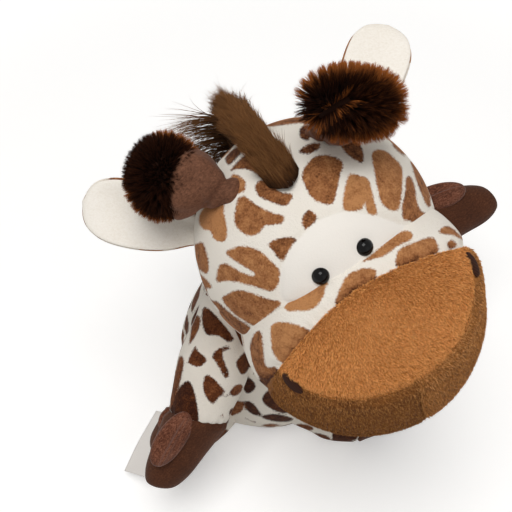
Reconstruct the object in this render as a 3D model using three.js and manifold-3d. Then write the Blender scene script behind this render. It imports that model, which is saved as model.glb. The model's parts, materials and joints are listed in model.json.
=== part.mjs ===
// A stuffed plush giraffe that sits on a flat seat panel, with a big turned head,
// two-toed hooves on four swinging limbs, floppy horns and ears, a mane and a tail.
// Millimetres, +Z up. The toy's front is -Y, and left and right are the toy's own:
// its left is +X. The origin is on the floor, in the middle of the seat panel.
import * as THREE from 'three'
import { mergeVertices } from 'three/addons/utils/BufferGeometryUtils.js'
import Module from 'manifold-3d'

const wasm = await Module()
wasm.setup()

// Driving dimensions, in millimetres. Angles are in degrees.

// The clearance between pieces that touch, and the one in the ball seats that turn.
const CLEAR = 0.3
const SEAT_CLEAR = 0.8
const OVERRUN = 6
const TURN = { head: 15, arm: 15, leg: 12, ear: 12, horn: 12, tail: 20, steps: 3 }
// How many facets the round forms have, round and along.
const FACETS = {
  torso: 24, neck: 22, head: [32, 20], seat: [20, 10], toe: [14, 8], limb: 20, limbCurve: 5, hoofCurve: 7,
  ballCurve: 5, eye: 12, eyeCurve: 5, washer: 16, nostril: [14, 8], horn: 16, hornSeat: [16, 10],
  hornCurve: 4, tuft: [18, 12], tail: 12, tailSeat: [12, 8], tailCurve: 3, tailTuft: [14, 8], mane: 10,
  maneNeck: 6,
}

const TORSO = {
  height: 152, radius: 67, depthShare: 0.96, leanShare: 0.06, yaw: 4, rings: 10,
  // How wide the pear-shaped body is at each height, as shares of its radius and height.
  outlineShares: [[0.82, 0], [0.95, 0.07], [1, 0.24], [0.94, 0.46], [0.8, 0.7], [0.63, 0.87], [0.42, 0.97]],
}
const PANEL = { thickness: 3, insetShare: 0.77, corner: 1 }
const POUCH = { radius: 27, height: 24, edge: 7, back: 16 }
const NECK = {
  radius: 33, topRadius: 31, bottom: TORSO.height - 32, top: TORSO.height + 36, x: 10, back: 13,
}

const HEAD = {
  radius: 68, x: 25, front: 13, z: TORSO.height + 60, yaw: 23.9, pitch: 19.4, roll: 16.95,
}
const SNOUT = {
  reach: 73, halfWidth: 65, halfHeight: 50, ahead: 45, drop: 18,
  seamAhead: 72, mouthDrop: 10, mouthTilt: 2,
}
const NOSTRIL = { length: 17, width: 7, proud: 1.5, ahead: 78, aside: 52, drop: -2, tilt: 36 }
const EYE = {
  radius: 4.1, dome: 3.6, aside: 13, rise: 34.5, shank: 1.5, shankLength: 14,
  washerRadius: 6, washerThickness: 1.4, washerDepth: 9, hole: 0.35, pocket: 1.2,
}

// Each limb's ball at its root, and where along the sleeve its widest ring is. A limb's
// aim is its azimuth and rise in degrees, and its bend is the hoof's lean to one side.
const LIMB_BALL = 20
const SLEEVE = { startShare: 0.6, middleShare: 0.5 }
const ARM = {
  z: TORSO.height - 34, cuff: 72, hoofLength: 51, rootRadius: 20, midRadius: 24, cuffRadius: 23,
  right: { aside: -35.6, forward: 12, aim: [-107, -27], bendShare: -0.44 },
  left: { aside: 44, forward: -2, aim: [33, 8], bendShare: -0.3 },
}
const LEG = {
  z: 26.5, cuff: 46, hoofLength: 32, rootRadius: 22, midRadius: 24.5, cuffRadius: 22.5,
  right: { aside: -31, forward: 26, aim: [-134, -1], bendShare: 0 },
  left: { aside: 22, forward: 45, aim: [-17, -1], bendShare: 0.4 },
}
// A hoof's rim, as shares of its width and length, and the smaller lobe beside it.
const HOOF = {
  bulge: 0.5, rimShares: [[0.97, 0.2], [0.87, 0.5], [0.75, 0.78], [0.52, 0.94]], endShare: 0.28,
  toeShare: 0.82, toeRadius: 13.5, toeOut: 2, toeUp: 15, toeBack: 2,
}

const EAR = {
  length: 65, halfWidth: 18.5, backThickness: 3, liningThickness: 1.6, cup: 5, thinShare: 0.4,
  liningShare: 0.93, root: [54, 28, 29], stations: 9, points: 10,
  // How wide the leaf is along its length, as shares of its length and half width.
  leafShares: [[0, 0.5], [0.2, 0.82], [0.45, 1], [0.7, 1], [0.87, 0.8], [0.96, 0.48], [1, 0.12]],
}
const EAR_AIM = { right: [-0.67, 0.51, 0.54], left: [0.79, 0.6, 0.24] }
const EAR_FACE = { right: [-0.25, -0.62, 0.74], left: [-0.1, -0.7, 0.7] }

const HORN = {
  base: [27, -1, 62], stalkLength: 24, baseRadius: 9, topRadius: 15, ball: 9,
  // The stalk's outline, as shares of its base radius and of its length.
  stalkShares: [[0.95, 0.17], [1.15, 0.5]],
}
// Half the length, width and depth of each horn's tuft, and how far along the horn it is.
const TUFT = {
  right: { radii: [20, 22.5, 22.5], ahead: 34.3 },
  left: { radii: [19.5, 29, 19.5], ahead: 39.3 },
}
const HORN_AIM = { right: [-0.68, 0.56, 0.47], left: [0.45, -0.66, 0.6] }

const MANE = {
  tipAngle: 25, endAngle: -84, tipHalf: 7, backHalf: 14, tipHeight: 5, crownHeight: 24, endHeight: 16,
  root: 6, neckTop: TORSO.height + 32, neckBottom: TORSO.height - 56, neckHalf: 11, neckHeight: 13,
  // Where the fur over the crown is highest and where it is widest, along its length.
  crownShare: 0.6, riseShare: 0.8, wideShare: 0.62, thinTopShare: 0.5, thinEndShare: 0.35, thinRate: 2.2,
  // The section of the ridge of fur, as shares of its half width and its height.
  sectionShares: [[1, 0], [0.96, 0.4], [0.7, 0.8], [0.25, 1], [-0.25, 1], [-0.7, 0.8], [-0.96, 0.4], [-1, 0]],
}
const TAIL = {
  z: 46, radius: 5.5, ball: 7, length: 62, drop: -24, tuftLength: 34, tuftRadius: 10,
  startShare: 0.6, middleShares: [0.85, 0.5], endShare: 0.8,
}
const LABEL = {
  length: 50, width: 26, thickness: 0.6, drop: 4, inset: 3, turn: 13, fall: 8, twist: 48, curl: 4,
  stationShares: [0, 0.25, 0.5, 0.75, 1],
}
// How matt each kind of surface is.
const ROUGH = { plush: 0.95, satin: 0.45, washer: 0.4, eye: 0.12 }

const COLOURS = {
  white: '#efeae2', body: '#e9e4da', tan: '#b1763c', chin: '#94622f', hoof: '#55322a', toe: '#744838',
  mane: '#554123', stalk: '#7c5546', tuft: '#2a120a', eye: '#0d0d0f', washer: '#d8d8d4',
  nostril: '#341a14', label: '#e3e1e4', pouch: '#cfcbbd', panel: '#e2ddd2',
}

// Small helpers: angles, closed solids and their places.

const rad = THREE.MathUtils.degToRad
const Y_AXIS = new THREE.Vector3(0, 1, 0)
const Z_AXIS = new THREE.Vector3(0, 0, 1)

function solidOf(geometry) {
  const bare = geometry.clone()
  bare.deleteAttribute('normal')
  bare.deleteAttribute('uv')
  const merged = mergeVertices(bare)
  return new wasm.Manifold(new wasm.Mesh({
    numProp: 3,
    vertProperties: new Float32Array(merged.attributes.position.array),
    triVerts: new Uint32Array(merged.index.array),
  }))
}

function geometryOf(solid) {
  const mesh = solid.getMesh()
  const geometry = new THREE.BufferGeometry()
  geometry.setAttribute('position', new THREE.BufferAttribute(mesh.vertProperties, mesh.numProp))
  geometry.setIndex(new THREE.BufferAttribute(mesh.triVerts, 1))
  const flat = geometry.toNonIndexed()
  flat.computeVertexNormals()
  return flat
}

function moved(solid, matrix) {
  return solid.transform([...matrix.elements])
}

function addPiece(group, name, solid, colour, roughness = ROUGH.plush) {
  const material = new THREE.MeshStandardMaterial({ color: colour, roughness, metalness: 0 })
  const mesh = new THREE.Mesh(geometryOf(solid), material)
  mesh.name = name
  group.add(mesh)
  return mesh
}

// The matrix that takes a point of one group into the frame of another.
function between(from, to) {
  from.updateWorldMatrix(true, false)
  to.updateWorldMatrix(true, false)
  return to.matrixWorld.clone().invert().multiply(from.matrixWorld)
}

function ellipsoid(radii, facets, place = [0, 0, 0]) {
  const geometry = new THREE.SphereGeometry(1, ...facets)
  geometry.scale(...radii)
  geometry.translate(...place)
  return solidOf(geometry)
}

function ball(radius, facets) {
  return ellipsoid([radius, radius, radius], facets)
}

// A solid of revolution about Z, from points of radius and height.
function turned(points, sides) {
  const geometry = new THREE.LatheGeometry(points.map(([r, z]) => new THREE.Vector2(r, z)), sides)
  geometry.rotateX(Math.PI / 2)
  return geometry
}

// A smooth outline through a few points of radius and height.
function smoothOutline(points, count) {
  const curve = new THREE.SplineCurve(points.map(([r, z]) => new THREE.Vector2(r, z)))
  return curve.getPoints(count).map((p) => [p.x, p.y])
}

function mix(from, to, share) {
  return from + (to - from) * share
}

function alongX(geometry) {
  geometry.rotateY(Math.PI / 2)
  return solidOf(geometry)
}

// A closed body through rings of points, with a flat fan at each end.
function loft(rings) {
  const count = rings[0].length
  const position = []
  const index = []
  rings.forEach((ring) => ring.forEach((p) => position.push(p.x, p.y, p.z)))
  rings.slice(1).forEach((_, i) => {
    for (let j = 0; j < count; j++) {
      const a = i * count + j
      const b = i * count + (j + 1) % count
      index.push(a, b, a + count, b, b + count, a + count)
    }
  })
  const ends = [[rings[0], 0, true], [rings.at(-1), (rings.length - 1) * count, false]]
  ends.forEach(([ring, first, start]) => {
    const middle = new THREE.Vector3()
    ring.forEach((p) => middle.addScaledVector(p, 1 / count))
    const centre = position.length / 3
    position.push(middle.x, middle.y, middle.z)
    for (let j = 0; j < count; j++) {
      const a = first + j
      const b = first + (j + 1) % count
      index.push(...(start ? [centre, b, a] : [centre, a, b]))
    }
  })
  const geometry = new THREE.BufferGeometry()
  geometry.setAttribute('position', new THREE.Float32BufferAttribute(position, 3))
  geometry.setIndex(index)
  const solid = solidOf(geometry)
  if (solid.volume() > 0) return solid
  geometry.setIndex(index.reverse())
  return solidOf(geometry)
}

// A big box that keeps what lies on the +Z side of its own base plane.
function halfSpace(size, matrix) {
  const geometry = new THREE.BoxGeometry(size, size, size)
  geometry.translate(0, 0, size / 2)
  return moved(solidOf(geometry), matrix)
}

// What a piece must leave out so that it can swing by its range about its own origin.
function clearedFor(piece, other, axis, range, keep) {
  const steps = TURN.steps - 1
  let swept = other
  for (let i = 0; i <= steps; i++) {
    const angle = rad(-range + 2 * range * i / steps)
    swept = swept.add(moved(other, new THREE.Matrix4().makeRotationAxis(axis, angle)))
  }
  return piece.subtract(keep ? swept.subtract(keep) : swept)
}

// Keeps the largest part of a cut solid, without the crumbs that a cut can leave.
function largest(solid) {
  return solid.decompose().sort((a, b) => b.volume() - a.volume())[0]
}

// A group that points its +X along an azimuth and a rise.
function aimed(parent, place, azimuth, rise) {
  const group = new THREE.Group()
  group.position.set(...place)
  group.rotation.set(0, -rad(rise), rad(azimuth), 'ZYX')
  parent.add(group)
  return group
}

// A group whose +X follows one direction and whose +Z faces another as nearly as it can.
function oriented(parent, place, along, facing) {
  const x = new THREE.Vector3(...along).normalize()
  const y = new THREE.Vector3(...facing).cross(x).normalize()
  const z = x.clone().cross(y)
  const group = new THREE.Group()
  group.position.set(...place)
  group.setRotationFromMatrix(new THREE.Matrix4().makeBasis(x, y, z))
  parent.add(group)
  return group
}

const giraffe = new THREE.Group()

// The torso's frame is turned a little to the toy's left, and the head's frame stands in
// the middle of the head, turned, lifted and tilted as the toy holds it.
const torsoFrame = new THREE.Group()
torsoFrame.rotation.z = rad(TORSO.yaw)
giraffe.add(torsoFrame)

const headFrame = new THREE.Group()
headFrame.position.set(HEAD.x, -HEAD.front, HEAD.z)
headFrame.rotation.set(-rad(HEAD.pitch), -rad(HEAD.roll), rad(HEAD.yaw), 'ZXY')
giraffe.add(headFrame)

// The torso: a pear-shaped stuffed bag that leans a little, on a flat sewn seat panel.

const torsoBottom = PANEL.thickness + CLEAR

function torsoSolid(grow = 0) {
  const shares = TORSO.outlineShares
  const rise = TORSO.height - torsoBottom
  const side = shares.map(([r, z]) => [r * TORSO.radius + grow, torsoBottom + z * rise])
  const outline = [[0, torsoBottom - grow], [side[0][0], torsoBottom - grow]]
  outline.push(...smoothOutline(side, TORSO.rings).slice(1), [0, TORSO.height + grow])
  const geometry = turned(outline, FACETS.torso)
  geometry.scale(1, TORSO.depthShare, 1)
  const lean = new THREE.Matrix4().makeShear(0, 0, 0, 0, TORSO.leanShare, 0)
  geometry.applyMatrix4(lean)
  return solidOf(geometry)
}

function seatPanel() {
  const r = TORSO.radius * PANEL.insetShare
  const geometry = turned([
    [0, 0], [r - PANEL.corner, 0], [r, PANEL.corner], [r, PANEL.thickness], [0, PANEL.thickness],
  ], FACETS.torso)
  geometry.scale(1, TORSO.depthShare, 1)
  return solidOf(geometry)
}

// The pouch of pellets that weights the seat, and its pocket at the back of the stuffing.
function pouchSolid(grow = 0) {
  const bottom = grow ? -OVERRUN : torsoBottom
  const top = torsoBottom + POUCH.height + grow
  const r = POUCH.radius + grow
  const geometry = turned([
    [0, bottom], [r, bottom], [r, top - POUCH.edge], [r - POUCH.edge, top], [0, top],
  ], FACETS.torso)
  return solidOf(geometry.translate(0, POUCH.back, 0))
}

// The limbs: a ball at the root that turns in the torso, a stuffed sleeve, and a hoof of
// two sewn lobes, the outer one larger and the inner one like a thumb.

function limbOutline(limb) {
  const first = LIMB_BALL * SLEEVE.startShare
  const side = [
    [limb.rootRadius, first], [limb.midRadius, limb.cuff * SLEEVE.middleShare],
    [limb.cuffRadius, limb.cuff],
  ]
  return [...ballOutline(LIMB_BALL, first), ...smoothOutline(side, FACETS.limbCurve)]
}

// The back of a ball about the origin, from its rear pole to a height in front.
function ballOutline(radius, height) {
  const steps = FACETS.ballCurve
  const last = Math.acos(height / radius)
  return Array.from({ length: steps }, (_, i) => {
    const angle = Math.PI - (Math.PI - last) * i / steps
    return [i ? radius * Math.sin(angle) : 0, radius * Math.cos(angle)]
  })
}

function sleeveSolid(limb) {
  return alongX(turned([...limbOutline(limb), [0, limb.cuff]], FACETS.limb))
}

// A hoof leans to the side by the limb's bend for each millimetre past the cuff.
function hoofSolid(limb, bend) {
  const start = limb.cuff + CLEAR
  const end = limb.cuff + limb.hoofLength
  const wide = limb.cuffRadius + HOOF.bulge
  const rim = HOOF.rimShares.map(([r, x]) => [wide * r, start + limb.hoofLength * x])
  const outline = [[0, start], ...smoothOutline([[limb.cuffRadius, start], ...rim], FACETS.hoofCurve)]
  outline.push([wide * HOOF.endShare, end - CLEAR], [0, end])
  const geometry = turned(outline, FACETS.limb).rotateY(Math.PI / 2)
  geometry.translate(-limb.cuff, 0, 0)
  geometry.applyMatrix4(new THREE.Matrix4().makeShear(bend, 0, 0, 0, 0, 0))
  return solidOf(geometry.translate(limb.cuff, 0, 0))
}

function toeSolid(limb, bend, side) {
  const half = limb.hoofLength * HOOF.toeShare / 2
  const middle = half - HOOF.toeBack
  const aside = side * HOOF.toeOut + bend * middle
  const place = [limb.cuff + middle, aside, HOOF.toeUp]
  return ellipsoid([half, HOOF.toeRadius, HOOF.toeRadius], FACETS.toe, place)
}

function addLimb(name, limb, side, axisOf, range, torso) {
  const { aside, forward, aim, bendShare } = side < 0 ? limb.right : limb.left
  const place = [aside + TORSO.leanShare * limb.z, -forward, limb.z]
  const frame = aimed(torsoFrame, place, ...aim)
  const back = between(torsoFrame, frame)
  const axis = axisOf(aim).transformDirection(back)
  const root = ball(LIMB_BALL + SEAT_CLEAR / 2, FACETS.seat)
  const grown = moved(torsoSolid(CLEAR), back)
  const hoof = hoofSolid(limb, bendShare)
  const thicker = {
    ...limb,
    midRadius: limb.midRadius + CLEAR,
    cuffRadius: limb.cuffRadius + CLEAR,
  }
  const ankle = sleeveSolid({ ...thicker, cuff: limb.cuff + CLEAR }).add(hoofSolid(thicker, bendShare))
  addPiece(frame, name, largest(clearedFor(sleeveSolid(limb), grown, axis, range, root)), COLOURS.body)
  addPiece(frame, `${name}_hoof`, hoof, COLOURS.hoof)
  addPiece(frame, `${name}_toe`, largest(toeSolid(limb, bendShare, side).subtract(ankle)), COLOURS.toe)
  if (name === 'leg_right') addLabel(frame, ankle)
  const seat = ball(LIMB_BALL + SEAT_CLEAR, FACETS.seat)
  return torso.subtract(moved(seat, between(frame, torsoFrame)))
}

// An arm lifts and drops about the level axis square to it, and a leg swings about Z.
function liftAxis([azimuth]) {
  return new THREE.Vector3(-Math.sin(rad(azimuth)), Math.cos(rad(azimuth)), 0)
}

function swingAxis() {
  return Z_AXIS.clone()
}

// A bare satin care label, sewn into the seam round the right ankle.
function addLabel(legFrame, ankle) {
  const frame = new THREE.Group()
  frame.position.set(LEG.cuff - LABEL.inset, -LEG.cuffRadius + LABEL.inset, -LABEL.drop)
  frame.rotation.set(rad(LABEL.twist), rad(LABEL.fall), -rad(LABEL.turn), 'ZYX')
  legFrame.add(frame)
  const rings = LABEL.stationShares.map((share) => {
    const x = (LABEL.length + LABEL.inset) * share
    const sag = -LABEL.curl * share ** 2
    const corners = [[-1, 0], [1, 0], [1, 1], [-1, 1]]
    return corners.map(([y, z]) => (
      new THREE.Vector3(x, y * LABEL.width / 2, sag + z * LABEL.thickness)
    ))
  })
  const cut = moved(ankle, between(legFrame, frame))
  addPiece(frame, 'care_label', largest(loft(rings).subtract(cut)), COLOURS.label, ROUGH.satin)
}

// The head: a round cranium, and a wide snout that bulges out of it in three sewn parts.

function headBall(grow = 0) {
  return ball(HEAD.radius + grow, FACETS.head)
}

function snoutBall(grow = 0) {
  const geometry = new THREE.SphereGeometry(1, ...FACETS.head)
  geometry.rotateX(Math.PI / 2)
  geometry.scale(SNOUT.halfWidth + grow, SNOUT.reach + grow, SNOUT.halfHeight + grow)
  geometry.translate(0, -SNOUT.ahead, -SNOUT.drop)
  return solidOf(geometry)
}

// The half in front of the seam where the patterned cheeks meet the plain muzzle.
function muzzleSide(offset) {
  const matrix = new THREE.Matrix4().makeRotationX(Math.PI / 2)
  matrix.setPosition(0, -SNOUT.seamAhead - offset, 0)
  return halfSpace(4 * SNOUT.reach, matrix)
}

function cheekSide(offset) {
  const matrix = new THREE.Matrix4().makeRotationX(-Math.PI / 2)
  matrix.setPosition(0, -SNOUT.seamAhead + offset, 0)
  return halfSpace(4 * SNOUT.reach, matrix)
}

// The half below the mouth seam.
function chinSide(offset) {
  const matrix = new THREE.Matrix4().makeRotationX(Math.PI + rad(SNOUT.mouthTilt))
  matrix.setPosition(0, -SNOUT.ahead, -SNOUT.mouthDrop - offset)
  return halfSpace(4 * SNOUT.reach, matrix)
}

function leftSide(offset) {
  const matrix = new THREE.Matrix4().makeRotationY(Math.PI / 2)
  matrix.setPosition(offset, 0, 0)
  return halfSpace(4 * SNOUT.reach, matrix)
}

function rightSide(offset) {
  const matrix = new THREE.Matrix4().makeRotationY(-Math.PI / 2)
  matrix.setPosition(-offset, 0, 0)
  return halfSpace(4 * SNOUT.reach, matrix)
}

// An eye's frame, on the cranium with +X out of the face.
function eyeFrame(side) {
  const ahead = Math.sqrt(HEAD.radius ** 2 - EYE.aside ** 2 - EYE.rise ** 2)
  const place = [side * EYE.aside, -ahead, EYE.rise]
  return oriented(headFrame, place, place, [0, 0, 1])
}

// A domed safety eye with its ribbed shank, in one moulding.
function eyeSolid(grow = 0) {
  const base = CLEAR - grow
  const dome = EYE.dome + grow
  const r = EYE.radius + grow
  const steps = FACETS.eyeCurve
  const outline = [[0, -EYE.shankLength - grow], [EYE.shank + grow, -EYE.shankLength - grow]]
  outline.push([EYE.shank + grow, base])
  for (let i = 0; i < steps; i++) {
    const angle = Math.PI / 2 * i / steps
    outline.push([r * Math.cos(angle), base + dome * Math.sin(angle)])
  }
  outline.push([0, base + dome])
  return alongX(turned(outline, FACETS.eye))
}

function washerSolid() {
  const back = -EYE.washerDepth - EYE.washerThickness
  const hole = EYE.shank + EYE.hole
  return alongX(turned([
    [hole, back], [EYE.washerRadius, back], [EYE.washerRadius, -EYE.washerDepth],
    [hole, -EYE.washerDepth], [hole, back],
  ], FACETS.washer))
}

// The pocket round the washer and the hole for the shank.
function eyePocket() {
  const wide = EYE.washerRadius + EYE.hole
  const back = -EYE.washerDepth - EYE.washerThickness - CLEAR
  const deep = -EYE.shankLength - EYE.pocket
  const hole = EYE.shank + EYE.hole
  return alongX(turned([
    [0, deep], [hole, deep], [hole, back], [wide, back], [wide, -EYE.washerDepth + CLEAR],
    [hole, -EYE.washerDepth + CLEAR], [hole, OVERRUN], [0, OVERRUN],
  ], FACETS.washer))
}

// A padded oval of close stitches that lies on the snout.
function nostrilSolid(side) {
  const shell = snoutBall(CLEAR + NOSTRIL.proud).subtract(snoutBall(CLEAR))
  const oval = new THREE.SphereGeometry(1, ...FACETS.nostril)
  oval.scale(NOSTRIL.width, NOSTRIL.length / 2, NOSTRIL.width / 2)
  oval.rotateX(-rad(NOSTRIL.tilt))
  oval.translate(side * NOSTRIL.aside, -NOSTRIL.ahead, -NOSTRIL.drop)
  return largest(shell.intersect(solidOf(oval)))
}

function addHead() {
  let head = headBall()
  const snoutAll = snoutBall().subtract(headBall(CLEAR))
  let cheeks = largest(snoutAll.intersect(cheekSide(CLEAR / 2)))
  const front = snoutAll.intersect(muzzleSide(CLEAR / 2))
  const muzzle = largest(front.subtract(chinSide(-CLEAR / 2)))
  const chin = front.intersect(chinSide(CLEAR / 2))
  for (const side of [-1, 1]) {
    const name = side < 0 ? 'right' : 'left'
    const eye = eyeFrame(side)
    const toHead = between(eye, headFrame)
    head = head.subtract(moved(eyePocket(), toHead))
    cheeks = cheeks.subtract(moved(eyeSolid(CLEAR), toHead))
    addPiece(eye, `eye_${name}`, eyeSolid(), COLOURS.eye, ROUGH.eye)
    addPiece(eye, `eye_washer_${name}`, washerSolid(), COLOURS.washer, ROUGH.washer)
    addPiece(headFrame, `nostril_${name}`, nostrilSolid(side), COLOURS.nostril)
    const half = side < 0 ? rightSide(CLEAR / 2) : leftSide(CLEAR / 2)
    addPiece(headFrame, `chin_${name}`, largest(chin.intersect(half)), COLOURS.chin)
  }
  addPiece(headFrame, 'snout', largest(cheeks), COLOURS.white)
  addPiece(headFrame, 'muzzle', muzzle, COLOURS.tan)
  return head
}

// The ears: a cupped leaf of patterned plush, with a smaller white lining in its hollow.

function leafSolid(base, thickness, widthShare) {
  const rings = smoothOutline(EAR.leafShares, EAR.stations).map(([share, half]) => {
    const thick = thickness * mix(EAR.thinShare, 1, half)
    return Array.from({ length: EAR.points }, (_, j) => {
      const angle = 2 * Math.PI * j / EAR.points
      const y = half * EAR.halfWidth * widthShare * Math.cos(angle)
      const cup = EAR.cup * (y / EAR.halfWidth) ** 2
      return new THREE.Vector3(EAR.length * share, y, base + cup + thick / 2 * (1 + Math.sin(angle)))
    })
  })
  return loft(rings)
}

function addEar(side) {
  const name = side < 0 ? 'right' : 'left'
  const [aside, behind, rise] = EAR.root
  const frame = oriented(headFrame, [side * aside, behind, rise], EAR_AIM[name], EAR_FACE[name])
  const toEar = between(headFrame, frame)
  const skull = moved(headBall(CLEAR), toEar)
  const back = leafSolid(0, EAR.backThickness, 1)
  const lining = leafSolid(EAR.backThickness + CLEAR, EAR.liningThickness, EAR.liningShare)
  const clear = (leaf) => largest(clearedFor(leaf, skull, Y_AXIS, TURN.ear))
  addPiece(frame, `ear_${name}`, clear(back), COLOURS.tan)
  addPiece(frame, `ear_lining_${name}`, clear(lining), COLOURS.white)
}

// The horns: a soft club-shaped stalk on a small ball, and a thick tuft of fur at its end.

function tuftSolid(name, grow = 0) {
  const { radii, ahead } = TUFT[name]
  return ellipsoid(radii.map((r) => r + grow), FACETS.tuft, [ahead, 0, 0])
}

function addHorn(side) {
  const name = side < 0 ? 'right' : 'left'
  const [aside, behind, rise] = HORN.base
  const frame = oriented(headFrame, [side * aside, behind, rise], HORN_AIM[name], [0, -1, 0])
  const toHorn = between(headFrame, frame)
  const skull = moved(headBall(CLEAR), toHorn)
  const root = ball(HORN.ball + SEAT_CLEAR / 2, FACETS.hornSeat)
  const whole = alongX(turned(stalkOutline(), FACETS.horn))
  const stalk = clearedFor(whole.subtract(tuftSolid(name, CLEAR)), skull, Y_AXIS, TURN.horn, root)
  const tuft = clearedFor(tuftSolid(name).subtract(whole), skull, Y_AXIS, TURN.horn)
  addPiece(frame, `horn_stalk_${name}`, largest(stalk), COLOURS.stalk)
  addPiece(frame, `horn_tuft_${name}`, largest(tuft), COLOURS.tuft)
  return moved(ball(HORN.ball + SEAT_CLEAR, FACETS.hornSeat), between(frame, headFrame))
}

function stalkOutline() {
  const low = HORN.stalkShares.map(([r, x]) => [HORN.baseRadius * r, HORN.stalkLength * x])
  const side = smoothOutline([...low, [HORN.topRadius, HORN.stalkLength]], FACETS.hornCurve)
  return [...ballOutline(HORN.ball, side[0][1]), ...side, [0, HORN.stalkLength + OVERRUN]]
}

// The mane: a strip of long fur over the crown, and one down the neck and back.

// How high the fur stands over the head, at a share of the way from its tip.
function maneHeight(t) {
  const crown = MANE.crownShare
  if (t < crown) return mix(MANE.tipHeight, MANE.crownHeight, (t / crown) ** MANE.riseShare)
  return mix(MANE.crownHeight, MANE.endHeight, (t - crown) / (1 - crown))
}

function maneOnHead() {
  return Array.from({ length: FACETS.mane + 1 }, (_, i) => {
    const t = i / FACETS.mane
    const angle = rad(mix(MANE.tipAngle, MANE.endAngle, t))
    const half = mix(MANE.tipHalf, MANE.backHalf, Math.min(1, t / MANE.wideShare))
    const ring = maneRing(half, HEAD.radius - MANE.root, HEAD.radius + maneHeight(t))
    return ring.map(([x, r]) => new THREE.Vector3(x, -r * Math.sin(angle), r * Math.cos(angle)))
  })
}

// A rounded ridge section: half width, and its lowest and highest distance.
function maneRing(half, low, high) {
  return MANE.sectionShares.map(([x, y]) => [x * half, mix(low, high, y)])
}

function maneOnNeck() {
  return Array.from({ length: FACETS.maneNeck + 1 }, (_, i) => {
    const t = i / FACETS.maneNeck
    const z = mix(MANE.neckTop, MANE.neckBottom, t)
    const atTop = MANE.thinTopShare + MANE.thinRate * t
    const atEnd = MANE.thinEndShare + MANE.thinRate * (1 - t)
    const thin = Math.min(1, atTop, atEnd)
    const inside = backOf(z) - MANE.root
    const outside = backOf(z) + MANE.neckHeight * thin
    const x = mix(NECK.x, TORSO.leanShare * z, t)
    const ring = maneRing(MANE.neckHalf * thin, inside, outside)
    return ring.map(([w, y]) => new THREE.Vector3(x + w, y, z))
  })
}

// How far back the neck or the torso reaches at a height.
function backOf(z) {
  const share = z / TORSO.height
  const row = TORSO.outlineShares
  const next = row.findIndex(([, h]) => h >= share)
  const neck = NECK.back + NECK.topRadius
  if (next < 1) return neck
  const [r0, h0] = row[next - 1]
  const [r1, h1] = row[next]
  const r = mix(r0, r1, (share - h0) / (h1 - h0))
  return Math.max(neck, r * TORSO.radius * TORSO.depthShare)
}

// The neck: a short tube of plush between the torso's shoulders and the head's ball.
function neckSolid(grow = 0) {
  const geometry = turned([
    [0, NECK.bottom], [NECK.radius + grow, NECK.bottom],
    [NECK.topRadius + grow, NECK.top], [0, NECK.top],
  ], FACETS.neck)
  geometry.translate(NECK.x, NECK.back, 0)
  return solidOf(geometry)
}

function tailOutline() {
  const [middleRadius, middle] = TAIL.middleShares
  const first = TAIL.ball * TAIL.startShare
  const side = [
    [TAIL.radius, first], [TAIL.radius * middleRadius, TAIL.length * middle],
    [TAIL.radius * TAIL.endShare, TAIL.length],
  ]
  return [...ballOutline(TAIL.ball, first), ...smoothOutline(side, FACETS.tailCurve), [0, TAIL.length]]
}

// The tail: a thin cord of plush on a small ball, with a tuft of the mane's fur.
function addTail(torso) {
  const behind = TORSO.radius * TORSO.depthShare - TAIL.ball / 2
  const frame = aimed(torsoFrame, [TORSO.leanShare * TAIL.z, behind, TAIL.z], 90, TAIL.drop)
  const back = between(torsoFrame, frame)
  const upHere = Z_AXIS.clone().transformDirection(back)
  const root = ball(TAIL.ball + SEAT_CLEAR / 2, FACETS.tailSeat)
  const grown = moved(torsoSolid(CLEAR), back)
  const cord = clearedFor(alongX(turned(tailOutline(), FACETS.tail)), grown, upHere, TURN.tail, root)
  const half = TAIL.tuftLength / 2
  const tuft = ellipsoid([half, TAIL.tuftRadius, TAIL.tuftRadius], FACETS.tailTuft,
    [TAIL.length + CLEAR + half, 0, 0])
  addPiece(frame, 'tail', largest(cord), COLOURS.body)
  addPiece(frame, 'tail_tuft', tuft, COLOURS.mane)
  return torso.subtract(moved(ball(TAIL.ball + SEAT_CLEAR, FACETS.tailSeat), between(frame, torsoFrame)))
}

// Assembly, from the largest forms to the smallest.

let torso = torsoSolid().subtract(pouchSolid(CLEAR))
for (const side of [-1, 1]) {
  const name = side < 0 ? 'right' : 'left'
  torso = addLimb(`arm_${name}`, ARM, side, liftAxis, TURN.arm, torso)
  torso = addLimb(`leg_${name}`, LEG, side, swingAxis, TURN.leg, torso)
}
torso = addTail(torso)

const headInTorso = between(headFrame, torsoFrame)
const skullHere = moved(headBall(SEAT_CLEAR), headInTorso)
torso = largest(torso.subtract(skullHere))
const shoulders = torsoSolid(CLEAR)
const neck = largest(neckSolid().subtract(skullHere).subtract(shoulders))
const neckMane = loft(maneOnNeck()).subtract(skullHere).subtract(shoulders).subtract(neckSolid(CLEAR))
addPiece(torsoFrame, 'torso', torso, COLOURS.body)
addPiece(torsoFrame, 'seat_panel', seatPanel(), COLOURS.panel)
addPiece(torsoFrame, 'pellet_pouch', pouchSolid(), COLOURS.pouch)
addPiece(torsoFrame, 'neck', neck, COLOURS.body)
addPiece(torsoFrame, 'mane_neck', largest(neckMane), COLOURS.mane)

let head = addHead()
for (const side of [-1, 1]) {
  addEar(side)
  head = head.subtract(addHorn(side))
}
addPiece(headFrame, 'head', largest(head), COLOURS.white)
addPiece(headFrame, 'mane_head', largest(loft(maneOnHead()).subtract(headBall(CLEAR))), COLOURS.mane)

export default giraffe
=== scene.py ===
# %% [markdown]
# # A plush giraffe, dressed in Blender
#
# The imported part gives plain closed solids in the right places. This lesson puts sewn plush
# round them: printed short pile on the head and body, brushed pile on the muzzle, velour on
# the hooves, and real strands of fur on the mane and the horns. Blender works in metres.
# The shapes below are worked out in millimetres, and make_piece turns them to metres.

# %% Load the frame and keep the size of the solids
import json
import math

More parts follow.
